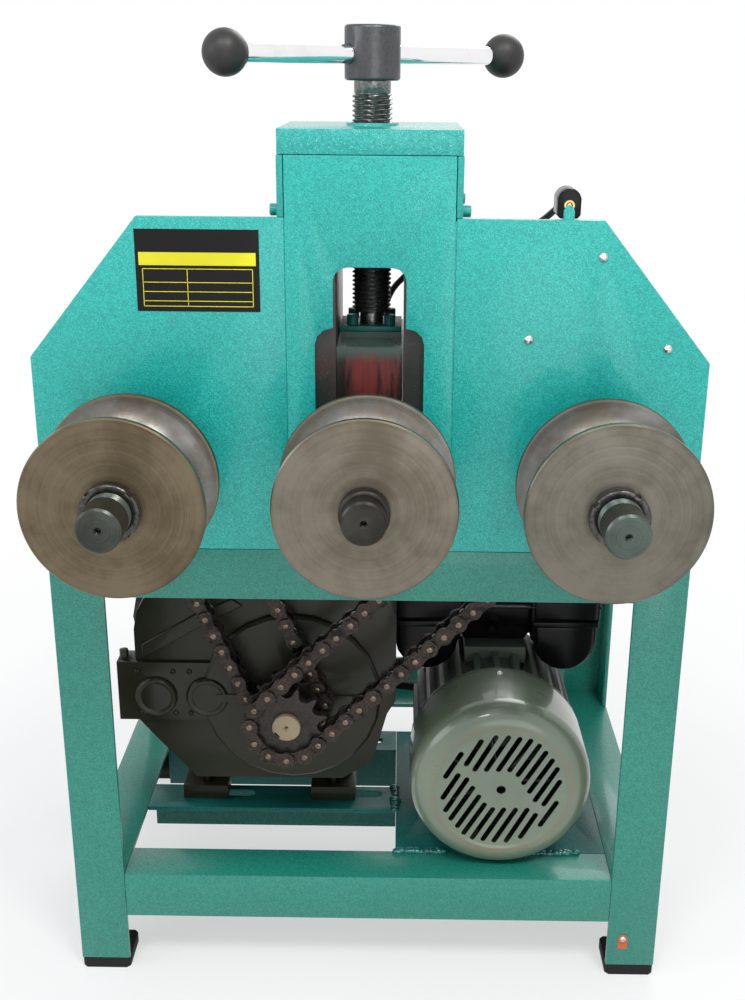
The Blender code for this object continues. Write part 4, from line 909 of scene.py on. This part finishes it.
def toothOutline(place, firstSeat):
    outline = []
    seat = 0.0062
    for tooth in range(chain["teeth"]):
        turn = firstSeat + 2 * math.pi * tooth / chain["teeth"]
        radial = Vector((math.cos(turn), math.sin(turn)))
        tangent = Vector((-radial.y, radial.x))
        for bend in [math.radians(-62 + 124 * step / 8) for step in range(9)]:
            reach = seat * (math.sin(bend) * tangent - math.cos(bend) * radial)
            outline.append(place + chain["pitchRadius"] * radial + reach)
        for share in (0.425, 0.47, 0.53, 0.575):
            tip = turn + 2 * math.pi * share / chain["teeth"]
            height = 0.0412 if share in (0.47, 0.53) else 0.0404
            outline.append(place + height * Vector((math.cos(tip), math.sin(tip))))
    return [tuple(point) for point in outline]


def toothPlate(name, place, other, middle):
    run = Vector(other) - Vector(place)
    firstSeat = math.atan2(run.y, run.x) + math.pi / chain["teeth"]
    outline = toothOutline(Vector(place), firstSeat)
    piece = plate(name, outline, middle - 0.0055, middle + 0.0055, "Y", (0, datumY, 0))
    return rounded(piece, 0.0006, 2, 60)


def makeSprockets():
    drive = chain["drive"]
    for side in ("left", "right"):
        place, middle = chain[side]["end"], chain[side]["middle"]
        centre = (place[0], datumY, place[1])
        piece = toothPlate(side + "SprocketCut", place, drive, middle)
        hub = [
            (0, middle - 0.0050), (0.025, middle - 0.0050), (0.025, middle + 0.0193),
            (0.024, middle + 0.0203)
        ]
        cutBy(piece, turned("hub", hub + [(0, middle + 0.0203)], centre, "Y", 64), "UNION")
        bore = turned(
            "bore", [(0, middle - 0.02), (0.0188, middle - 0.02), (0.0188, 0.13), (0, 0.13)], centre, "Y",
            64
        )
        cutBy(piece, bore)
        done(piece, "sprocketSteel", side + "_roller_set", (side + "_sprocket",))
    centre = (drive[0], datumY, drive[1])
    front = toothPlate("driveSprocketCut", drive, chain["right"]["end"], chain["right"]["middle"])
    rear = toothPlate("rear", drive, chain["left"]["end"], chain["left"]["middle"])
    hub = turned(
        "hub", [(0, 0.0260), (0.025, 0.0260), (0.025, 0.0765), (0.024, 0.0775), (0, 0.0775)], centre, "Y",
        64
    )
    cutBy(front, hub, "UNION")
    cutBy(front, rear, "UNION")
    bore = turned("bore", [(0, 0.01), (0.0143, 0.01), (0.0143, 0.09), (0, 0.09)], centre, "Y", 64)
    cutBy(front, bore)
    done(front, "sprocketSteel", "drive_set", ("drive_sprocket",))
    end = 0.017
    profile = centreDrilled(end) + [(0.0132, end), (0.0140, end + 0.0008), (0.0140, 0.140), (0, 0.140)]
    axle = turned("driveShaftTurned", profile, centre, "Y", 64)
    slot = block("slot", (-0.004, 0.010, 0.0108), (0.004, 0.034, 0.018))
    slot.data.transform(Matrix.Translation(centre) @ Matrix.Rotation(math.radians(230), 4, "Y"))
    cutBy(axle, slot)
    done(axle, "shaftFace", "drive_set", ("drive_shaft",))


# motor with its fan cover, terminal box, pulleys and belt

motor = {
    "centre": (0.1343, -0.1265, 0.2095), "radius": 0.0925, "face": 0.0695, "front": 0.0165, "rear": 0.105,
    "wall": 0.0025, "slot": 0.0054, "hole": 0.00475,
    # the ends of one half's slots from the cover's middle, in millimetres; the other half is turned round
    "slots": (
        ((-41.5, 40.2), (-56.5, 14.4)), ((-22.0, 54.5), (-36.0, 28.8)), ((-7.4, 59.3), (-27.2, 23.0)),
        ((5.1, 59.3), (-15.5, 23.0)), ((16.4, 57.7), (-3.4, 23.0)), ((27.3, 56.0), (7.8, 22.7)),
        ((36.2, 50.5), (16.4, 17.5)), ((43.0, 42.7), (22.4, 8.3)), ((50.0, 34.0), (28.8, -1.6)),
        ((55.5, 24.4), (35.0, -11.3)), ((58.6, 9.9), (44.0, -16.0)),
    ),
}


def slotShape(first, second, width, steps):
    heading = math.degrees(math.atan2(second[1] - first[1], second[0] - first[0]))
    return arc(second, width / 2, heading - 90, heading + 90, steps) + arc(
        first, width / 2, heading + 90, heading + 270, steps
    )


def makeFanCover():
    bend = motor["radius"] - motor["face"]
    front, rear, wall = motor["front"], motor["rear"], motor["wall"]
    outer = arc((motor["face"], front + bend), bend, -90, 0, 14)
    inner = arc((motor["face"], front + bend), bend - wall, 0, -90, 10)
    lip = 0.0014                                  # the flat face lies a little below its raised rim
    dish = [(motor["hole"], front + lip), (motor["face"] - 0.0050, front + lip),
            (motor["face"] - 0.0036, front + lip * 0.8),
            (motor["face"] - 0.0022, front + lip * 0.15), (motor["face"] - 0.0010, front)]
    profile = dish + outer + [(motor["radius"], rear), (motor["radius"] - wall, rear)] + inner
    profile += [(motor["hole"], front + wall), dish[0]]
    cover = turned("fanCoverPressed", profile, motor["centre"], "Y", 96)
    tools = []
    for half in (1, -1):
        for ends in motor["slots"]:
            first, second = [(half * x / 1000, half * z / 1000) for x, z in ends]
            tools.append(
                plate("slot", slotShape(first, second, motor["slot"], 6), 0.0, 0.03, "Y", motor["centre"])
            )
    cutBy(cover, joined("slots", tools))
    done(cover, "motorPaint", "frame", ("fan_cover",), 30)


def makePods():
    # the two halves of the terminal box have a rolled lid and a ledge each, with one cable entry between
    # them
    x, y = motor["centre"][0], datumY + 0.1650
    parts = []
    for side in (-1, 1):
        low, high = sorted((x + side * 0.0405, x + side * 0.1098))
        parts.append(block("podLid", (low, y - 0.0022, 0.3335), (high, y + 0.060, 0.3660), 0.0040, 4))
        parts.append(
            block(
                "podLedge", (low - 0.0012, y - 0.0040, 0.3265), (high + 0.0012, y + 0.060, 0.3335), 0.0016,
                3
            )
        )
        centre = x + side * 0.075
        body = arc((centre, 0.3080), 0.0318, 180, 360, 18) + [
            (centre + 0.0318, 0.3275), (centre - 0.0318, 0.3275)
        ]
        parts.append(rounded(plate("podBody", body, y - 0.0016, y + 0.055), 0.0030, 3))
    done(joined("terminalPods", parts), "blackPlastic", "frame")
    knob = [
        (0, 0.0), (0.0085, 0.0), (0.0085, 0.008), (0.0066, 0.010), (0.0050, 0.016), (0.0040, 0.017),
        (0, 0.017)
    ]
    entry = turned("entryPlug", knob, (0, 0, 0), "Z", 32)
    fasteners("middleEntry", entry, [((0.1300, 0.1875, 0.3200), (0, -1, 0))], "blackPlastic")
    fasteners("podScrew", panHead(0.0026, 0.0016, 0.0008), [((0.1660, 0.1865, 0.3500), (0, -1, 0))], "zinc")


def makeMotor():
    refined("motor_housing", "finPaint", edge=0.0008)
    refined("rotor_shaft", "darkSteel", "motor_rotor", edge=0.0004)
    refined("terminal_box", "blackPlastic", edge=0.0035, segments=3)
    makePods()
    refined("gearbox_pulley", "darkSteel", "gearbox_input", edge=0.0005)
    refined("drive_belt", "rubber", edge=0.0005)
    x, z = motor["centre"][0], motor["centre"][2]
    rim = [(x + side * 0.1120, z + 0.1225) for side in (1, -1)]
    lid = block(
        "terminalLidRim", (rim[1][0] - 0.0008, datumY + 0.1642, 0.3475),
        (rim[0][0] + 0.0008, datumY + 0.2508, 0.3500), 0.0008
    )
    done(lid, "blackPlastic", "frame")
    spots = [((x + dx, y, 0.3722), (0, 0, 1)) for dx in (-0.098, 0.098) for y in (0.177, 0.238)]
    fasteners("lidScrews", panHead(0.0035, 0.0020, 0.0009), spots, "zinc")
    spots = [((x + dx, y, 0.1278), (0, 0, 1)) for dx in (-0.058, 0.058) for y in (0.142, 0.202)]
    fasteners("motorFootBolts", hexBolt(0.013, 0.0053, 0.010), spots, "zinc")
    spots = []
    for turn in (45, 135, 225, 315):
        across, up = 0.0745 * math.cos(math.radians(turn)), 0.0745 * math.sin(math.radians(turn))
        spots.append(((x + across, 0.2525, z + up), (0, 1, 0)))
    fasteners("endShieldBolts", hexBolt(0.008, 0.0040), spots, "zinc")
    screws = []
    for turn in (90, 210, 330):                   # the cover's own screws, round its rear edge
        way = Vector((math.cos(math.radians(turn)), 0, math.sin(math.radians(turn))))
        screws.append((Vector((x, 0.0985, z)) + way * 0.0925, way))
    fasteners("fanCoverScrews", panHead(0.0036, 0.0022, 0.0009), screws, "zinc")


# gearbox with its bolts

casting = {
    "caps": ((-0.2234, 0.2760), (-0.1696, 0.2760)), "capFront": 0.0840, "boxFront": 0.0880, "face": 0.0950,
    "coverBolts": (
        (-0.1220, 0.3150), (-0.0300, 0.3140), (0.0090, 0.2920), (-0.1560, 0.2330), (-0.0900, 0.1960)
    ),
    "boxBolts": ((-0.2420, 0.3040), (-0.2050, 0.3040), (-0.1880, 0.3040), (-0.2380, 0.2570),
                 (-0.2040, 0.2560),
                 (-0.1880, 0.2560), (-0.1480, 0.2550)),
    "ridge": (
        (-0.2370, 0.3160), (-0.1680, 0.3560), (-0.1300, 0.3760), (-0.1420, 0.3840), (-0.1760, 0.3690),
        (-0.2370, 0.3320)
    ),
    "footX": (-0.187, -0.043), "footY": (0.1670, 0.2865), "footTop": 0.1320, "flange": 0.1105,
}


def makeGearbox():
    refined("gearbox_housing", "gearboxPaint", edge=0.0022, segments=3)
    face = casting["face"]
    rings = []
    for x, z in casting["caps"]:
        front = casting["capFront"]
        profile = [(0.0140, front + 0.001), (0.0158, front - 0.0004), (0.0176, front - 0.0016),
                   (0.0196, front - 0.0016),
                   (0.0212, front - 0.0002), (0.0222, front + 0.002), (0.0225, front + 0.006),
                   (0.0140, front + 0.006),
                   (0.0140, front + 0.001)]
        rings.append(turned("capRing", profile, (x, datumY, z), "Y", 64))
    done(joined("bearingCapRings", rings), "gearboxPaint", "frame")
    x, z = chain["drive"]
    boss = [
        (0.0150, 0.0900), (0.0285, 0.0900), (0.0300, 0.0912), (0.0320, face + 0.003),
        (0.0150, face + 0.003), (0.0150, 0.0900)
    ]
    done(turned("outputBoss", boss, (x, datumY, z), "Y", 64), "gearboxPaint", "frame")
    ridge = rounded(
        plate("castRidge", casting["ridge"], face - 0.0028, face + 0.003, "Y", (0, datumY, 0)), 0.0018, 3
    )
    done(ridge, "gearboxPaint", "frame")
    screws = [((x, casting["boxFront"], z), (0, -1, 0)) for x, z in casting["boxBolts"]]
    fasteners("bearingBoxScrews", panHead(0.0030, 0.0026, 0.0008), screws, "gearboxPaint")
    cover = [((x, face - 0.0005, z), (0, -1, 0)) for x, z in casting["coverBolts"]]
    fasteners("coverBolts", hexBolt(0.0085, 0.0042), cover, "gearboxPaint")
    feet = [((x, y, casting["footTop"]), (0, 0, 1)) for x in casting["footX"] for y in casting["footY"]]
    fasteners("gearboxFootBolts", socketHead(0.0068, 0.0120, 0.0038), feet, "blackOxide")
    studs = [((x, y, casting["flange"]), (0, 0, -1)) for x in casting["footX"] for y in casting["footY"]]
    end = turned(
        "end", [(0, 0), (0.0042, 0), (0.0042, 0.0125), (0.0034, 0.0135), (0, 0.0135)], (0, 0, 0), "Z", 24
    )
    fasteners("footBoltEnds", joined("stud", [hexBolt(0.013, 0.0065), end]), studs, "blackOxide")


# painted steelwork

steelwork = {
    "panelPaint": (
        "left_panel", "right_panel", "column_front_plate",
    ),
    "standPaint": (
        "front_left_leg", "front_right_leg", "rear_left_leg", "rear_right_leg", "front_sill", "rear_sill",
        "left_sill",
        "right_sill", "front_band", "rear_top_rail", "left_top_rail", "right_top_rail",
    ),
    # these parts get the darker copy of the teal, painted shade
    "shadedInnerPaint": (
        "front_cross_angle", "rear_cross_angle", "motor_base_plate", "left_bearing_carrier",
        "right_bearing_carrier",
        "column_rear_plate",
    ),
    "guidePaint": ("left_guide", "right_guide"),
    "rubber": ("front_left_foot", "front_right_foot", "rear_left_foot", "rear_right_foot"),
}


columnCap = {"top": 0.8438, "edge": 0.0007, "nutShare": 0.37}


def makeSteelwork():
    for finish, nodes in steelwork.items():
        for node in nodes:
            refined(node, finish, edge=0.0007)
    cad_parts["carriage_block"].data.materials[0] = finishes["slideGrease"]
    # the cap's pale flecks are a painted highlight for the glare on it
    cap, top = refined("column_cap", "capGlarePaint", edge=0.0007), columnCap["top"]
    for vertex in cap.data.vertices:               # the nut's welded flange stands only a little proud
        if vertex.co.z > top + columnCap["edge"]:
            vertex.co.z = top + (vertex.co.z - top) * columnCap["nutShare"]
    # the retainer takes the same darker copy of the teal: painted shade
    refined("screw_retainer", "shadedInnerPaint", "carriage", edge=0.0005)
    makeConnector()
    makeSeams()


seams = {
    "depth": 0.0010, "thick": 0.0010,
    # paint bridges each joint a little below the faces: low and high corners in X and Z
    "runs": (
        ((-0.3000, 0.4711), (0.3000, 0.4722)), (
            (-0.0742, 0.4722), (-0.0728, 0.7700)
        ), ((0.0728, 0.4722), (0.0742, 0.7700)),
    ),
}


def makeSeams():
    fills = []
    for (left, low), (right, high) in seams["runs"]:
        front = datumY + seams["depth"]
        fills.append(block("fill", (left, front, low), (right, front + seams["thick"], high), 0.0001, 1))
    done(joined("seamPaint", fills), "panelPaint", "frame")


connector = {
    "x": 0.1694, "half": 0.0101, "low": 0.7725, "high": 0.7976, "front": 0.0046, "rear": 0.0363,
    "edge": 0.0030,
    "neck": 0.0075, "gland": (0.1694, 0.7835),
}


def makeConnector():
    # a rounded plug on the panel's tab, with a brass gland and its screw in the front face
    x, low, high, half = connector["x"], connector["low"], connector["high"], connector["half"]
    edge, neck = connector["edge"], connector["neck"]
    outline = [(x - neck, low), (x + neck, low), (x + half, low + 0.0030), (x + half, high - 0.0080)]
    outline += arc((x, high - half), half, 20, 160, 14) + [
        (x - half, high - 0.0080), (x - half, low + 0.0030)
    ]
    housing = plate("connectorHousing", outline, connector["front"], connector["rear"], "Y", (0, datumY, 0))
    rounded(housing, 0.0012, 3, 40)
    done(housing, "blackPlastic", "frame", ("connector_block",))
    front = connector["front"]
    gland = [(0.0026, front), (0.0026, front - 0.0006), (0.0030, front - 0.0010), (0.0042, front - 0.0010),
             (0.0046, front - 0.0006),
             (0.0046, front + 0.001), (0.0026, front + 0.001), (0.0026, front)]
    ring = turned("connectorGland", gland, (connector["gland"][0], datumY, connector["gland"][1]), "Y", 48)
    done(ring, "brass", "frame")
    spot = (connector["gland"][0], front + 0.0002, connector["gland"][1])
    fasteners("connectorScrew", panHead(0.0024, 0.0016, 0.0008), [(spot, (0, -1, 0))], "brass")


weld = {"radius": 0.0044, "step": 0.0040, "wander": 0.0008}


def weldBead(name, start, end):
    # overlapping drops along the seam, as the torch leaves them
    start, end = Vector(start) + Vector((0, datumY, 0)), Vector(end) + Vector((0, datumY, 0))
    run = end - start
    count = int(run.length / weld["step"])
    drops = []
    for step in range(count + 1):
        deselect()
        bpy.ops.mesh.primitive_ico_sphere_add(subdivisions=2, radius=1)
        drop = bpy.context.object
        size = weld["radius"] * random.uniform(0.75, 1.15)
        spot = start + run * step / count + Vector(
            [random.uniform(-1, 1) * weld["wander"] for axis in range(3)]
        )
        drop.data.transform(Matrix.Translation(spot) @ Matrix.Diagonal((size * 1.3, size, size * 0.8, 1)))
        drops.append(drop)
    return done(joined(name, drops), "shadedWeldPaint", "frame", angle=80)


def makeTrim():
    # column side bolts, panel screws, side screws and weld beads
    spots = [
        ((side * 0.0792, y, z), (side, 0, 0)) for side in (-1, 1) for y in (0.020, 0.140) for z in (0.7765,)
    ]
    profile = [(0, 0), (0.0052, 0), (0.0052, 0.0068), (0.0044, 0.0076), (0, 0.0076)]
    fasteners("cheekBolts", turned("head", profile, (0, 0, 0), "Z", 32), spots, "panelPaint")
    spots = [((x, 0.0, z), (0, -1, 0)) for x, z in ((0.1396, 0.670), (0.2004, 0.7415), (0.2620, 0.663))]
    fasteners("panelScrews", panHead(0.0042, 0.0030, 0.0011), spots, "zinc")
    spots = [((side * 0.2968, 0.060, 0.580), (side, 0, 0)) for side in (-1, 1)]     # sunk flush
    fasteners("sideScrews", panHead(0.0042, 0.0032, 0.0011), spots, "brass")
    weldBead("frontPlateWeldLeft", (0.030, 0.0490, 0.1165), (0.079, 0.0490, 0.1165))
    weldBead("frontPlateWeldRight", (0.166, 0.0490, 0.1165), (0.218, 0.0490, 0.1165))
    weldBead("crossAngleWeld", (0.0270, 0.1360, 0.1160), (0.0270, 0.1830, 0.1160))
    print("trim made")


label = {
    "low": (-0.202, 0.6915), "high": (-0.095, 0.7615), "thickness": 0.0004,
    "band": (0.7310, 0.7420), "rows": (0.7245, 0.7165, 0.7085, 0.7005), "column": -0.1575, "line": 0.0006,
}


def makeLabel():
    # a bare plate: dark ground, one yellow band and an empty grid
    left, bottom = label["low"]
    right, top = label["high"]
    deep = -label["thickness"]
    ground = block("ratingPlate", (left, datumY + deep, bottom), (right, datumY, top), 0.00015, 1)
    done(ground, "labelBlack", "frame")
    face, skin = datumY + deep, 0.00012
    bands = [
        block(
            "band", (left + 0.003, face - skin, label["band"][0]), (right - 0.003, face, label["band"][1])
        )
    ]
    low, high, line = label["rows"][-1] - 0.0045, label["rows"][0] + 0.0035, label["line"]
    edge = 0.006
    for z in (*label["rows"][1:], low, high):
        bands.append(
            block("band", (left + edge, face - skin, z - line / 2), (right - edge, face, z + line / 2))
        )
    for x in (left + edge, label["column"], right - edge):
        bands.append(block("band", (x - line / 2, face - skin, low), (x + line / 2, face, high)))
    done(joined("ratingPlateBands", bands), "labelYellow", "frame")


earth = {"place": (0.266, 0.0416), "width": 0.010, "height": 0.018}


def makeEarthTag():
    x, z = earth["place"]
    half, tall = earth["width"] / 2, earth["height"] / 2
    outline = [(x - half, z - tall), (x + half, z - tall), (x + half, z + tall * 0.4)]
    outline += arc((x, z + tall * 0.4), half, 15, 165, 8) + [(x - half, z + tall * 0.4)]
    tag = plate("earthTag", outline, -0.0008, 0.0, "Y", (0, datumY, 0))
    done(rounded(tag, 0.0002, 1), "safetyOrange", "frame")
    fasteners(
        "earthScrew", panHead(0.0034, 0.0026, 0.0009), [((x, -0.0008, z + 0.0035), (0, -1, 0))], "zinc"
    )


# the lead from the connector to the motor's terminal box

lead = {
    "radius": 0.003, "straight": 0.006,
    "start": (0.1694, 0.0366, 0.78505), "end": (0.1343, 0.2075, 0.3723),
    "route": (
        (0.1690, 0.0520, 0.7838), (0.1650, 0.0750, 0.7730), (0.1500, 0.1100, 0.7560),
        (0.1200, 0.1420, 0.7440),
        (0.0850, 0.1680, 0.7340), (0.0550, 0.1820, 0.7180), (0.0310, 0.1860, 0.6970),
        (0.0160, 0.1870, 0.6780),
        (0.0040, 0.1880, 0.6400), (0.0020, 0.1890, 0.5800), (0.0090, 0.1910, 0.5200),
        (0.0350, 0.1950, 0.4620),
        (0.0800, 0.2000, 0.4240), (0.1180, 0.2050, 0.4040),
    ),
}


def smoothLine(route, steps):
    knots = [2 * route[0] - route[1], *route, 2 * route[-1] - route[-2]]
    line = []
    for before, start, end, after in zip(knots, knots[1:], knots[2:], knots[3:]):
        for step in range(steps):
            t = step / steps
            bend = (2 * before - 5 * start + 4 * end - after) * t**2
            twist = (3 * start - before - 3 * end + after) * t**3
            line.append((2 * start + (end - before) * t + bend + twist) / 2)
    return line + [route[-1]]


def makeLead():
    shift = Vector((0, datumY, 0))
    start, end = Vector(lead["start"]) + shift, Vector(lead["end"]) + shift
    route = [start + Vector((0, lead["straight"], 0)), *[Vector(place) + shift for place in lead["route"]]]
    route.append(end + Vector((0, 0, lead["straight"])))
    line = [start, *smoothLine(route, 6), end]
    data = bpy.data.curves.new("motorLead", "CURVE")
    data.dimensions = "3D"
    data.bevel_depth = lead["radius"]
    data.bevel_resolution = 6
    data.use_fill_caps = True
    spline = data.splines.new("POLY")
    spline.points.add(len(line) - 1)
    for point, place in zip(spline.points, line):
        point.co = (*place, 1)
    piece = bpy.data.objects.new("motorLead", data)
    bpy.context.scene.collection.objects.link(piece)
    piece.data.materials.append(finishes["cableSheath"])
    length = sum((after - before).length for before, after in zip(line, line[1:]))
    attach(piece, "frame")
    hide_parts("motor_cable")
    print("lead made,", round(length, 3), "m")


def backgroundRays(finish):
    # the rays that show the white background: from the camera, and by way of metal or glass
    rays = finish.tree.nodes.new("ShaderNodeLightPath").outputs
    seen = Value(finish, rays["Is Camera Ray"]) + Value(finish, rays["Is Glossy Ray"]) + Value(
        finish, rays["Is Transmission Ray"]
    )
    return seen.math("MINIMUM", 1.0)


def makeFloor():
    deselect()
    bpy.ops.mesh.primitive_plane_add(size=shot["floorSize"], location=(0, 0, 0))
    floor = bpy.context.object
    floor.name = "paleFloor"
    white = Finish("paleFloor", roughness=0.9)
    white.give("baseColor", shot["floorTone"])
    tree = white.tree
    glow = tree.nodes.new("ShaderNodeEmission")
    glow.inputs["Color"].default_value = (1, 1, 1, 1)
    far = white.span(
        white.add("VectorMath", {"operation": "LENGTH"}, {0: white.place}, 1), 0.35, 1.6, 0.55, 1.0
    )
    blend = tree.nodes.new("ShaderNodeMixShader")
    white.feed(blend.inputs[0], backgroundRays(white) * far)
    tree.links.new(white.shader.outputs[0], blend.inputs[1])
    tree.links.new(glow.outputs[0], blend.inputs[2])
    tree.links.new(blend.outputs[0], tree.nodes["Material Output"].inputs["Surface"])
    floor.data.materials.append(white.material)


def setWorld():
    world = bpy.data.worlds.new("studio")
    bpy.context.scene.world = world
    world.use_nodes = True
    tree = world.node_tree
    sky = Finish.__new__(Finish)
    sky.tree = tree
    ground = tree.nodes["Background"]
    ground.inputs["Color"].default_value = (0.90, 0.94, 1.0, 1)
    ground.inputs["Strength"].default_value = 0.55
    white = tree.nodes.new("ShaderNodeBackground")
    white.inputs["Color"].default_value = (1, 1, 1, 1)
    blend = tree.nodes.new("ShaderNodeMixShader")
    sky.feed(blend.inputs[0], backgroundRays(sky))
    tree.links.new(ground.outputs[0], blend.inputs[1])
    tree.links.new(white.outputs[0], blend.inputs[2])
    tree.links.new(blend.outputs[0], tree.nodes["World Output"].inputs["Surface"])
    bpy.context.scene.view_settings.view_transform = "Standard"


setCamera()
setLamps()
setWorld()
makeFloor()
finishes = makeFinishes()
print("stage and finishes made")
makeLead()
makeSteelwork()
print("steelwork dressed")
makeRollers()
makeShafts()
print("rollers and shafts made")
makeScrew()
makeHandle()
print("press made")
makeChain("right")
makeChain("left")
makeSprockets()
print("chains and sprockets made")
makeFanCover()
makeMotor()
makeGearbox()
print("motor and gearbox made")
makeTrim()
makeLabel()
makeEarthTag()
